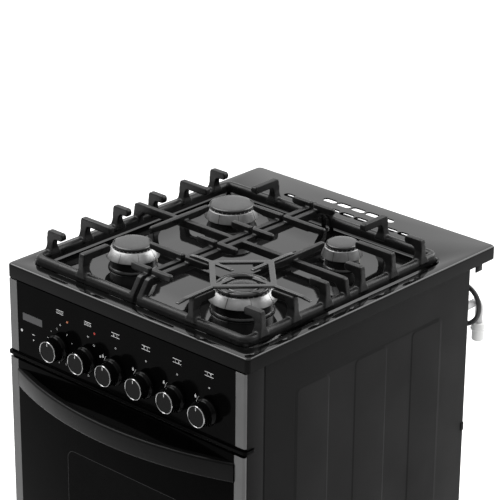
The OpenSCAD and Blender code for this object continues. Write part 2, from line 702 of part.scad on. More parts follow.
module door_trims() color([0.6, 0.6, 0.6]) both_sides() {
    box([door_half - trim_w, door_face, glass_low], [tub_half, door_face + glass_t + 2, door_top]);
    box([tub_half - 1, door_face, swing_clear], [door_half - 4, door_face + glass_t + 2, door_top]);
    difference() {
        rod_z(swing_clear, door_top, door_half - 4, door_face + 4, 4);
        box([door_half - 9, side_front - 0.5, door_low], [door_half + 1, door_back, door_top + 1]);
    }
    box([door_half - trim_w - 12, door_face + glass_t, door_low + 12],
        [door_half - trim_w, door_face + glass_t + 2, door_top]);
}

module door_handle() color([0.12, 0.12, 0.12]) difference() {
    half_angle = asin(handle_half / handle_r);
    translate([0, handle_front + handle_r, handle_z - handle_band / 2])
        rotate([0, 0, 270 - half_angle]) rotate_extrude(angle = 2 * half_angle, $fn = 720) {
            translate([handle_r - handle_t, 0]) square([handle_t - 4, handle_band]);
            translate([handle_r - 5, 4]) square([5, handle_band - 8]);
            for (z = [4, handle_band - 4]) translate([handle_r - 4, z]) circle(r = 4, $fn = 32);
        }
    box([-handle_half - 5, door_face, handle_z - handle_band],
        [handle_half + 5, door_face + 60, handle_z + handle_band]);
}

module door_hinges() color([0.65, 0.65, 0.67]) for (side = [-1, 1]) {
    x = side * hinge_x;
    rod_x(x - 4, x + 4, pivot_y, pivot_z, 6.5);
    rod_x(x - 14, x + 14, pivot_y, pivot_z, pin_r);
    box([x - 4, pivot_y, pivot_z - 6], [x + 4, frame_face + 12, pivot_z + 6]);
    box([x - 8, frame_face + 10, pivot_z - 18], [x + 8, frame_face + 70, pivot_z + 18]);
}

// ---------- drawer ----------

grip_half = 80;
module drawer_front() color([0.05, 0.05, 0.05]) difference() {
    union() {
        box([-door_half, door_face + 2, drawer_low], [door_half, side_front - 1, drawer_top]);
        box([-tub_half, side_front - 2, drawer_low], [tub_half, door_face + 2 + front_t, drawer_top]);
    }
    box([-grip_half, door_face + 1, drawer_top - 14], [grip_half, door_face + 14, drawer_top + 1]);
}

module drawer_box() color([0.5, 0.5, 0.52]) {
    y0 = door_face + 2 + front_t;
    difference() {
        box([-drawer_half, y0, drawer_floor], [drawer_half, y0 + drawer_depth, drawer_floor + drawer_side]);
        box([-drawer_half + wall, y0 + wall, drawer_floor + wall],
            [drawer_half - wall, y0 + drawer_depth - wall, drawer_floor + drawer_side + 1]);
    }
}

// ---------- gas inlet and mains cord ----------

elbow_r = 14;
fitting_top = 717;
collar_low = 708;
flange_low = 705;
stub_low = 687;
thread_r = 10.48;
module gas_inlet() color([0.75, 0.75, 0.74]) {
    rod_y(body_back - 2, pipe_y - elbow_r, pipe_x, pipe_z, pipe_r);
    translate([pipe_x, pipe_y - elbow_r, pipe_z - elbow_r]) rotate([0, -90, 0])
        rotate_extrude(angle = 90) translate([elbow_r, 0]) circle(r = pipe_r);
    rod_z(fitting_top - 2, pipe_z - elbow_r, pipe_x, pipe_y, pipe_r);
    rod_z(collar_low, fitting_top, pipe_x, pipe_y, 11.8);
    rod_z(flange_low, collar_low, pipe_x, pipe_y, 12.8);
    rod_z(stub_low, flange_low, pipe_x, pipe_y, thread_r);
}

gland_tip = cord_lead[0].x;
module terminal_cover() color([0.1, 0.1, 0.1]) {
    box([terminal_x[0], body_back, terminal_z[0]], [terminal_x[1], cord_lead[0].y + 14, terminal_z[1]]);
    translate([terminal_x[1], cord_lead[0].y, cord_lead[0].z]) rotate([0, 90, 0])
        cylinder(r1 = 9, r2 = cord_r + 1, h = gland_tip - terminal_x[1] - 0.1);
}

module mains_cord() color([0.05, 0.05, 0.05]) {
    swept_tube(cord_lead, cord_r);
    swept_tube(cord_tail, cord_r);
}

module cord_coil() color([0.05, 0.05, 0.05]) translate([coil_centre.x, coil_centre.y, 0])
    rotate_extrude() translate([coil_r - cord_r, 0]) square([cord_d, coil_top]);

plug_r = 18;
plug_x = cord_tail[len(cord_tail) - 1].x;
module cord_plug() color([0.06, 0.06, 0.06]) {
    y = cord_tail[len(cord_tail) - 1].y;
    rod_x(plug_x + 0.1, plug_x + 10, y, plug_r, 8);
    rod_x(plug_x + 10, plug_x + 36, y, plug_r, plug_r);
    for (dy = [-9.5, 9.5]) rod_x(plug_x + 35, plug_x + 55, y + dy, plug_r, 2.4);
}

side_panel_left();
side_panel_right();
back_panel();
base_frame();
front_frame();
levelling_feet();
oven_cavity();
oven_insulation();
rack_ladders();
oven_rack();
grill_element();
convection_fan();
fan_cover();
fan_motor();
oven_lamp();
hob_deck();
burner_cups();
crown_front_left();
crown_rear_left();
crown_rear_right();
crown_front_right();
cap_front_left();
cap_rear_left();
cap_rear_right();
cap_front_right();
spark_electrodes();
flame_sensors();
grate_left();
grate_right();
wok_support();
control_panel();
panel_trims();
panel_ledge();
timer_display();
indicator_lamps();
knob_1();
knob_2();
knob_3();
knob_4();
knob_5();
knob_6();
tap_stem_3();
tap_stem_4();
tap_stem_5();
tap_stem_6();
gas_rail();
oven_switches();
door_frame();
door_glass_outer();
door_glass_inner();
door_trims();
door_handle();
door_hinges();
drawer_front();
drawer_box();
gas_inlet();
terminal_cover();
mains_cord();
cord_coil();
cord_plug();
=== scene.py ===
"""The look of a freestanding gas range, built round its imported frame. Lengths are in metres."""

import math

import bmesh  # noqa: E402
import bpy  # noqa: E402
from mathutils import Matrix, Vector  # noqa: E402


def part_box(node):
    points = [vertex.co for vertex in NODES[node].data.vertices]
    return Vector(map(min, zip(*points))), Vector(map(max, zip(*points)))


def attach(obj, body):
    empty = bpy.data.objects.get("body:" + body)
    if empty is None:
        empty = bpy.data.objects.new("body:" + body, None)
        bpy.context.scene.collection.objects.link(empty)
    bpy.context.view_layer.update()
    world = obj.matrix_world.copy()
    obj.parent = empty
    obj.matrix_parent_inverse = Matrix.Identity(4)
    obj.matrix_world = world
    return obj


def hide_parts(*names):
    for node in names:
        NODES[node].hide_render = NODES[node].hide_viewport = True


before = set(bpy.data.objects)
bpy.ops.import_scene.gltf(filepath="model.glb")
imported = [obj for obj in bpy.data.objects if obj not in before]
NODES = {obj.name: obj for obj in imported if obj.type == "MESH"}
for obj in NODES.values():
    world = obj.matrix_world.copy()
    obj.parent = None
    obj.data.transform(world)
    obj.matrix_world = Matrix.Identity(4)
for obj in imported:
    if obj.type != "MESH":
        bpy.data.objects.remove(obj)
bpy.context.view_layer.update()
MM = 0.001

# ---------------------------------------------------------------- camera


def place_camera():
    """Puts the camera at the photograph's angle: a long lens to the front right, looking down."""
    azimuth, elevation, roll = (math.radians(a) for a in (42.423, 22.963, 0.484))
    distance, lens = 3.5548, 165.9
    deck_middle = Vector((0, 0.025, 0.85))
    back = Vector((math.sin(azimuth) * math.cos(elevation),
                   -math.cos(azimuth) * math.cos(elevation), math.sin(elevation)))
    level = Vector((math.cos(azimuth), math.sin(azimuth), 0))
    rise = back.cross(level)
    right = level * math.cos(roll) + rise * math.sin(roll)
    up = rise * math.cos(roll) - level * math.sin(roll)
    place = deck_middle - right * 0.00653 + up * 0.0056 + back * distance
    data = bpy.data.cameras.new("camera")
    data.lens = lens
    camera = bpy.data.objects.new("camera", data)
    bpy.context.scene.collection.objects.link(camera)
    turn = Matrix((right, up, back)).transposed().to_4x4()
    camera.matrix_world = Matrix.Translation(place) @ turn
    bpy.context.scene.camera = camera


place_camera()

# ---------------------------------------------------------------- mesh helpers


def link_mesh(name, bm, sharp=35):
    """Makes an object of a bmesh, shaded smooth but for edges sharper than the given angle."""
    bmesh.ops.recalc_face_normals(bm, faces=bm.faces)
    mesh = bpy.data.meshes.new(name)
    bm.to_mesh(mesh)
    bm.free()
    mesh.shade_smooth()
    mesh.set_sharp_from_angle(angle=math.radians(sharp))
    piece = bpy.data.objects.new(name, mesh)
    bpy.context.scene.collection.objects.link(piece)
    return piece


def dress(piece, body, material, replaces=()):
    """Gives a piece its material, the body it rides on and the CAD nodes it stands for."""
    piece.data.materials.clear()
    piece.data.materials.append(material)
    if replaces:
        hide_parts(*replaces)
    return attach(piece, body)


def join(bm, rows, following):
    """Quads between each row of vertices and the row that follows it."""
    for a, b in zip(rows, following):
        for i in range(len(a)):
            j = (i + 1) % len(a)
            bm.faces.new((a[i], a[j], b[j], b[i]))


def skin(bm, loops):
    """Joins a row of closed point loops with quads, and closes the first and last."""
    rows = [[bm.verts.new(p) for p in loop] for loop in loops]
    join(bm, rows, rows[1:])
    bm.faces.new(rows[0][::-1])
    bm.faces.new(rows[-1])


def skin_ring(bm, loops):
    """Joins point loops with quads, and the last loop back to the first."""
    rows = [[bm.verts.new(p) for p in loop] for loop in loops]
    join(bm, rows, rows[1:] + rows[:1])


def lathe(bm, profile, place, steps=72, closed=False):
    """Turns a profile of (radius, height) points round the Z axis of place. closed makes a ring of it."""
    loops = []
    for radius, height in profile:
        loops.append([place @ Vector((radius * math.cos(2 * math.pi * k / steps),
                                      radius * math.sin(2 * math.pi * k / steps), height))
                      for k in range(steps)])
    (skin_ring if closed else skin)(bm, loops)


def block(bm, low, high, bevel=0.0, segments=2):
    """A box with rounded edges, added to bm."""
    low, high = Vector(low), Vector(high)
    size, middle = high - low, (high + low) / 2
    place = Matrix.Translation(middle) @ Matrix.Diagonal((*size, 1))
    made = bmesh.ops.create_cube(bm, size=1, matrix=place)["verts"]
    if bevel:
        edges = list(dict.fromkeys(e for v in made for e in v.link_edges))
        bmesh.ops.bevel(bm, geom=edges, offset=bevel, segments=segments, profile=0.5,
                        affect="EDGES", clamp_overlap=True)


def prism(bm, outline, to_point, depth_low, depth_high):
    """An outline of (u, v) points drawn out between two depths. to_point(u, v, depth) places it."""
    skin(bm, [[to_point(u, v, d) for u, v in outline] for d in (depth_low, depth_high)])


def repeat_round(bm, place, count, draw, lead=0):
    """Draws a shape count times, turned round the Z axis of place. lead shifts it by part of a step."""
    for k in range(count):
        before = set(bm.verts)
        draw()
        turn = place @ Matrix.Rotation(2 * math.pi * (k + lead) / count, 4, "Z")
        bmesh.ops.transform(bm, matrix=turn, verts=[v for v in bm.verts if v not in before])


def rounded_outline(x0, x1, y0, y1, radius, corner_steps=8):
    """Points round a rectangle with round corners, anticlockwise from the corner at x1, y0."""
    points = []
    for cx, cy, start in ((x1 - radius, y0 + radius, -90), (x1 - radius, y1 - radius, 0),
                          (x0 + radius, y1 - radius, 90), (x0 + radius, y0 + radius, 180)):
        for k in range(corner_steps + 1):
            angle = math.radians(start + 90 * k / corner_steps)
            points.append((cx + radius * math.cos(angle), cy + radius * math.sin(angle)))
    return points


def apply_modifiers(piece, sharp=35):
    """Turns a piece's modifiers into its mesh."""
    graph = bpy.context.evaluated_depsgraph_get()
    mesh = bpy.data.meshes.new_from_object(piece.evaluated_get(graph))
    piece.modifiers.clear()
    piece.data = mesh
    mesh.shade_smooth()
    mesh.set_sharp_from_angle(angle=math.radians(sharp))


def cut(piece, cutters):
    """Cuts closed shapes, given as one bmesh, out of a piece."""
    tool = link_mesh(piece.name + "_cutter", cutters)
    modifier = piece.modifiers.new("cut", "BOOLEAN")
    modifier.operation = "DIFFERENCE"
    modifier.solver = "EXACT"
    modifier.object = tool
    bpy.context.view_layer.update()
    apply_modifiers(piece)
    bpy.data.objects.remove(tool)


def soften(node, width):
    """Rounds the hard edges of a CAD node with modifiers, and leaves its mesh alone."""
    piece = NODES[node]
    piece.data.shade_smooth()
    weld = piece.modifiers.new("weld", "WELD")
    weld.merge_threshold = 0.00002
    flat = piece.modifiers.new("flat", "DECIMATE")
    flat.decimate_type = "DISSOLVE"
    flat.angle_limit = math.radians(1)
    bevel = piece.modifiers.new("bevel", "BEVEL")
    bevel.width = width
    bevel.segments = 2
    bevel.limit_method = "ANGLE"
    bevel.angle_limit = math.radians(40)
    normals = piece.modifiers.new("normals", "WEIGHTED_NORMAL")
    normals.weight = 100
    normals.keep_sharp = True


# ---------------------------------------------------------------- materials


def carry(nodes, from_low, from_high, to_low=0, to_high=1):
    """A node that carries one range of values onto another."""
    made = nodes.new("ShaderNodeMapRange")
    made.inputs["From Min"].default_value = from_low
    made.inputs["From Max"].default_value = from_high
    made.inputs["To Min"].default_value = to_low
    made.inputs["To Max"].default_value = to_high
    return made


def finish(name, color, roughness, metallic=0.0, specular=0.5, mottle=0.0, mottle_scale=30.0, smudge=0.0,
           smudge_scale=12.0, grain=0.0, grain_scale=600.0, brushed=None, alpha=1.0, transmission=0.0,
           emission=None, speckle=None, upright=None):
    """A procedural surface. mottle varies the colour, smudge the roughness, grain is fine bump, brushed
    stretches the grain along an axis, speckle is (colour, scale, amount) of small flecks, and upright is
    the specular level of upright faces where it differs from flat ones, a painted shade on upright faces."""
    material = bpy.data.materials.new(name)
    material.use_nodes = True
    nodes, links = material.node_tree.nodes, material.node_tree.links
    shader = nodes["Principled BSDF"]
    shader.inputs["Metallic"].default_value = metallic
    shader.inputs["IOR"].default_value = 1.5
    shader.inputs["Specular IOR Level"].default_value = specular
    shader.inputs["Alpha"].default_value = alpha
    shader.inputs["Transmission Weight"].default_value = transmission
    if emission:
        shader.inputs["Emission Color"].default_value = (*emission[0], 1)
        shader.inputs["Emission Strength"].default_value = emission[1]
    # Painted shade: upright faces get a lower specular level than flat ones, so they show darker.
    if upright is not None:
        split = nodes.new("ShaderNodeSeparateXYZ")
        links.new(nodes.new("ShaderNodeNewGeometry").outputs["Normal"], split.inputs["Vector"])
        level = carry(nodes, 0.2, 0.9, upright, specular)
        links.new(split.outputs["Z"], level.inputs["Value"])
        links.new(level.outputs["Result"], shader.inputs["Specular IOR Level"])
    place = nodes.new("ShaderNodeTexCoord").outputs["Object"]
    if brushed:
        stretch = nodes.new("ShaderNodeMapping")
        stretch.inputs["Scale"].default_value = brushed
        links.new(place, stretch.inputs["Vector"])
        fine_place = stretch.outputs["Vector"]
    else:
        fine_place = place

    def noise(scale, detail, where):
        made = nodes.new("ShaderNodeTexNoise")
        made.inputs["Scale"].default_value = scale
        made.inputs["Detail"].default_value = detail
        links.new(where, made.inputs["Vector"])
        return made.outputs["Fac"]

    def spread(source, low, high):
        made = carry(nodes, 0.3, 0.7, low, high)
        links.new(source, made.inputs["Value"])
        return made.outputs["Result"]

    shade = nodes.new("ShaderNodeMix")
    shade.data_type = "RGBA"
    shade.inputs["A"].default_value = (*[c * (1 - mottle) for c in color], 1)
    shade.inputs["B"].default_value = (*[min(1, c * (1 + mottle)) for c in color], 1)
    links.new(spread(noise(mottle_scale, 4, place), 0, 1), shade.inputs["Factor"])
    colour_out = shade.outputs["Result"]
    if speckle:
        fleck_colour, fleck_scale, amount = speckle
        fleck = nodes.new("ShaderNodeMix")
        fleck.data_type = "RGBA"
        dots = carry(nodes, 1 - amount, 1 - amount + 0.03)
        links.new(noise(fleck_scale, 2, place), dots.inputs["Value"])
        links.new(dots.outputs["Result"], fleck.inputs["Factor"])
        links.new(colour_out, fleck.inputs["A"])
        fleck.inputs["B"].default_value = (*fleck_colour, 1)
        colour_out = fleck.outputs["Result"]
    links.new(colour_out, shader.inputs["Base Color"])
    links.new(spread(noise(smudge_scale, 5, place), max(0.0, roughness - smudge), roughness + smudge),
              shader.inputs["Roughness"])
    if grain:
        bump = nodes.new("ShaderNodeBump")
        bump.inputs["Strength"].default_value = grain
        bump.inputs["Distance"].default_value = 0.0004
        links.new(noise(grain_scale, 3, fine_place), bump.inputs["Height"])
        links.new(bump.outputs["Normal"], shader.inputs["Normal"])
    return material


def grey(value):
    return (value, value, value)


# upright=0.05 is painted shade: the apron and well walls reflect less, so they show darker than the top.
DECK = finish("deck_enamel", grey(0.0025), 0.03, specular=0.34, upright=0.05, smudge=0.012,
              smudge_scale=6, mottle=0.2, grain=0.03, grain_scale=220)
SIDE = finish("side_enamel", grey(0.007), 0.5, specular=0.05, smudge=0.05, mottle=0.06, mottle_scale=5,
              grain=0.25, grain_scale=1400)
PANEL = finish("panel_gloss", grey(0.0014), 0.12, specular=0.012, smudge=0.03, mottle=0.15,
               grain=0.02, grain_scale=300)
GLASS = finish("door_glass", grey(0.0012), 0.05, specular=0.012, smudge=0.02, mottle=0.2,
               grain=0.01, grain_scale=200)
WINDOW = finish("window_tint", grey(0.0014), 0.05, specular=0.012, smudge=0.02, mottle=0.25,
                mottle_scale=60)
SILVER = finish("trim_silver", grey(0.085), 0.34, metallic=1.0, smudge=0.05, mottle=0.05,
                grain=0.35, grain_scale=260, brushed=(1, 1, 0.06))
LEDGE = finish("ledge_black", grey(0.001), 0.3, specular=0.015, smudge=0.05, grain=0.05)
GRATE = finish("grate_enamel", grey(0.006), 0.34, specular=0.2, smudge=0.1, smudge_scale=40, mottle=0.3,
               mottle_scale=80, grain=0.5, grain_scale=500)
WOK = finish("wok_enamel", grey(0.01), 0.18, specular=0.5, smudge=0.08, smudge_scale=40, mottle=0.25,
             mottle_scale=90, grain=0.35)
CAP = finish("cap_enamel", grey(0.014), 0.22, specular=0.42, smudge=0.06, mottle=0.2, mottle_scale=70,
             grain=0.3, grain_scale=700)
CUP = finish("burner_black", grey(0.006), 0.25, specular=0.4, smudge=0.08, grain=0.15)
ALUMINIUM = finish("burner_aluminium", grey(0.24), 0.42, metallic=1.0, smudge=0.1, smudge_scale=45,
                   mottle=0.12, mottle_scale=120, grain=0.3, grain_scale=900)
CERAMIC = finish("ceramic", (0.8, 0.78, 0.72), 0.3, smudge=0.05, mottle=0.06, grain=0.05)
SENSOR = finish("sensor_metal", (0.5, 0.42, 0.26), 0.35, metallic=1.0, smudge=0.1, mottle=0.2)
KNOB = finish("knob_black", grey(0.0015), 0.12, specular=0.05, smudge=0.04, smudge_scale=60, mottle=0.2,
              grain=0.03)
RING = finish("knob_ring", grey(0.3), 0.12, metallic=1.0, smudge=0.04, mottle=0.05, grain=0.02)
HANDLE = finish("handle_black", grey(0.003), 0.28, specular=0.06, smudge=0.06, mottle=0.1,
                grain=0.12, grain_scale=900)
DISPLAY = finish("display_glass", (0.004, 0.004, 0.006), 0.06, specular=0.4, smudge=0.02, mottle=0.2)
LENS = finish("lamp_lens", (0.3, 0.07, 0.01), 0.2, smudge=0.05, mottle=0.1,
              emission=((1.0, 0.22, 0.03), 0.04))
LENS_RED = finish("lamp_lens_red", (0.3, 0.015, 0.008), 0.2, smudge=0.05, mottle=0.1,
                  emission=((1.0, 0.03, 0.02), 0.04))
PRINT = finish("panel_print", grey(0.5), 0.5, smudge=0.05, mottle=0.08, mottle_scale=400)
EDGE_LINE = finish("window_edge", grey(0.008), 0.3, specular=0.1, smudge=0.05, mottle=0.1)
ZINC = finish("galvanised", (0.2, 0.205, 0.21), 0.45, metallic=1.0, smudge=0.06, smudge_scale=60,
              mottle=0.12, mottle_scale=110, grain=0.15, grain_scale=200)
FRONT_FRAME = finish("front_frame_enamel", grey(0.012), 0.35, smudge=0.06, mottle=0.15, grain=0.15)
PLASTIC = finish("black_plastic", grey(0.012), 0.5, smudge=0.08, mottle=0.12, grain=0.4,
                 grain_scale=1200)
OVEN = finish("oven_enamel", (0.018, 0.018, 0.02), 0.22, smudge=0.05, mottle=0.1, grain=0.1,
              speckle=((0.25, 0.26, 0.28), 900, 0.3))
WOOL = finish("glass_wool", (0.62, 0.52, 0.25), 0.95, smudge=0.03, mottle=0.3, mottle_scale=90,
              grain=1.0, grain_scale=300)
CHROME = finish("rack_chrome", (0.62, 0.62, 0.63), 0.16, metallic=1.0, smudge=0.06, mottle=0.08)
ELEMENT = finish("element_metal", (0.06, 0.05, 0.045), 0.5, metallic=0.7, smudge=0.1, mottle=0.3,
                 grain=0.2)
FAN = finish("fan_aluminium", grey(0.6), 0.34, metallic=1.0, smudge=0.1, mottle=0.1, grain=0.2)
LAMP = finish("lamp_glass", (0.85, 0.83, 0.75), 0.15, transmission=0.6, smudge=0.05, mottle=0.1)
BRASS = finish("brass", (0.55, 0.42, 0.18), 0.32, metallic=1.0, smudge=0.1, mottle=0.15, grain=0.1)
CREAM = finish("cream_plastic", (0.7, 0.66, 0.55), 0.45, smudge=0.08, mottle=0.06, grain=0.2)
DOOR_STEEL = finish("door_steel", grey(0.01), 0.35, smudge=0.08, mottle=0.15, grain=0.15)
INNER_GLASS = finish("inner_glass", (0.1, 0.11, 0.11), 0.04, smudge=0.02, mottle=0.05, alpha=0.35)
DRAWER = finish("drawer_gloss", grey(0.0014), 0.12, specular=0.015, smudge=0.03, mottle=0.15,
                grain=0.02, grain_scale=300)
PIPE = finish("pipe_grey", grey(0.5), 0.38, smudge=0.08, mottle=0.08, mottle_scale=60, grain=0.15)
FITTING = finish("fitting_white", (0.72, 0.72, 0.71), 0.42, smudge=0.06, mottle=0.05, grain=0.15)
RUBBER = finish("cord_rubber", grey(0.012), 0.48, smudge=0.08, mottle=0.15, grain=0.35, grain_scale=1500)
RUBBER_PAD = finish("rubber_pad", grey(0.01), 0.7, smudge=0.08, mottle=0.15, grain=0.4)

# ---------------------------------------------------------------- hob deck

DECK_LOW, DECK_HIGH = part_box("hob_deck")
DECK_TOP = DECK_HIGH.z
APRON = 22 * MM
WELL_DEPTH = 8 * MM
WELL = (-231 * MM, 231 * MM, -237 * MM, 210 * MM)
SHEET = 2.5 * MM
SLOT_PITCH = 30
SLOT_HALF = (13.5 * MM, 6.5 * MM)
SLOT_CORNER = 6.45 * MM
TAB_X, TAB_Y = 246.5 * MM, (265 * MM, 281 * MM)

BURNERS = {}
for spot in ("front_left", "rear_left", "rear_right", "front_right"):
    cap_low, cap_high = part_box("cap_" + spot)
    crown_low, crown_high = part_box("crown_" + spot)
    BURNERS[spot] = {
        "x": (cap_low.x + cap_high.x) / 2, "y": (cap_low.y + cap_high.y) / 2,
        "cap": (cap_high.x - cap_low.x) / 2, "skirt": (crown_high.x - crown_low.x) / 2,
        "cap_top": cap_high.z, "crown_top": crown_high.z, "crown_low": crown_low.z}


def build_deck():
    """A pressed enamelled sheet: front and sides turned down, a sunken well, slots and burner holes."""
    x0, x1, y0, y1 = DECK_LOW.x, DECK_HIGH.x, DECK_LOW.y, DECK_HIGH.y

    def outer(inset, z, radius):
        return [(*p, z) for p in rounded_outline(x0 + inset, x1 - inset, y0 + inset, y1 - inset,
                                                 radius)]

    def well(outset, z):
        return [(*p, z) for p in rounded_outline(WELL[0] - outset, WELL[1] + outset, WELL[2] - outset,
                                                 WELL[3] + outset, 25 * MM + outset)]

    base = DECK_TOP - APRON
    floor = DECK_TOP - WELL_DEPTH
    edge = 3.5 * MM
    loops = [outer(SHEET, floor - 4 * MM, 5 * MM), outer(SHEET, base, 5 * MM), outer(0, base, 7 * MM)]
    for k in range(7):
        turn = math.radians(15 * k)
        loops.append(outer(edge * (1 - math.cos(turn)), DECK_TOP - edge * (1 - math.sin(turn)), 7 * MM))
    slope = 9 * MM
    for k in range(11):
        share = k / 10
        drop = (1 - math.cos(math.pi * share)) / 2
        loops.append(well(1 * MM - slope * share, DECK_TOP - WELL_DEPTH * drop))
    bm = bmesh.new()
    skin(bm, loops)
    deck = link_mesh("hob_deck_sheet", bm)

    pocket = bmesh.new()
    block(pocket, (x0 + SHEET, WELL[3] + 12 * MM, base - 4 * MM),
          (x1 - SHEET, y1 + 4 * MM, DECK_TOP - SHEET))
    cut(deck, pocket)

    cutters = bmesh.new()
    slot_y = (WELL[3] + 35 * MM, WELL[3] + 64 * MM)
    for y, reach in zip(slot_y, (4, 2)):
        for i in range(-reach, reach + 1):
            x = i * SLOT_PITCH * MM
            outline = rounded_outline(x - SLOT_HALF[0], x + SLOT_HALF[0], y - SLOT_HALF[1],
                                      y + SLOT_HALF[1], SLOT_CORNER)
            skin(cutters, [[(*p, z) for p in outline] for z in (floor - 9 * MM, DECK_TOP + 5 * MM)])
    for b in BURNERS.values():
        radius = b["skirt"] - 10 * MM
        lathe(cutters, [(radius, floor - 9 * MM), (radius, floor + 5 * MM)],
              Matrix.Translation((b["x"], b["y"], 0)), steps=48)
    cut(deck, cutters)
    rim = deck.modifiers.new("rim", "BEVEL")
    rim.width = 0.6 * MM
    rim.segments = 2
    rim.limit_method = "ANGLE"
    rim.angle_limit = math.radians(60)
    dress(deck, "cabinet", DECK, ["hob_deck"])

    tabs = bmesh.new()
    for side in (-1, 1):
        block(tabs, (side * TAB_X - 1 * MM, TAB_Y[0], base - 12 * MM),
              (side * TAB_X + 1 * MM, TAB_Y[1], floor - 5 * MM), 0.4 * MM)
    dress(link_mesh("deck_tabs", tabs), "cabinet", DECK)


build_deck()

# ---------------------------------------------------------------- shapes drawn in millimetres


def link_mm(name, bm, sharp=35):
    """Makes an object of a bmesh drawn in millimetres."""
    bmesh.ops.scale(bm, vec=(MM, MM, MM), verts=bm.verts)
    return link_mesh(name, bm, sharp)


def cast(piece, voxel, rounds):
    """Melts the parts of a piece into one cast skin with soft edges."""
    remesh = piece.modifiers.new("remesh", "REMESH")
    remesh.mode = "VOXEL"
    remesh.voxel_size = voxel * MM
    smooth = piece.modifiers.new("smooth", "SMOOTH")
    smooth.factor = 0.5
    smooth.iterations = rounds
    apply_modifiers(piece, sharp=180)


def facing(x, y, z, axis):
    """A place at (x, y, z) whose Z axis points along the given direction."""
    return Matrix.Translation((x, y, z)) @ Vector(axis).to_track_quat("Z", "Y").to_matrix().to_4x4()


def tube(bm, points, radius, steps=20):
    """A round tube along a list of points, with closed ends."""
    points = [Vector(p) for p in points]
    loops = []
    side = None
    for i, point in enumerate(points):
        along = (points[min(i + 1, len(points) - 1)] - points[max(i - 1, 0)]).normalized()
        side = (along.orthogonal() if side is None else side - along * side.dot(along)).normalized()
        other = along.cross(side)
        loops.append([point + radius * (math.cos(2 * math.pi * k / steps) * side
                                        + math.sin(2 * math.pi * k / steps) * other)
                      for k in range(steps)])
    skin(bm, loops)


def arc(centre, radius, start, end, steps, to_point):
    """Points along an arc in a (u, v) plane, from a start to an end angle in degrees."""
    found = []
    for k in range(steps + 1):
        angle = math.radians(start + (end - start) * k / steps)
        found.append(to_point(centre[0] + radius * math.cos(angle), centre[1] + radius * math.sin(angle)))
    return found


# ---------------------------------------------------------------- burners


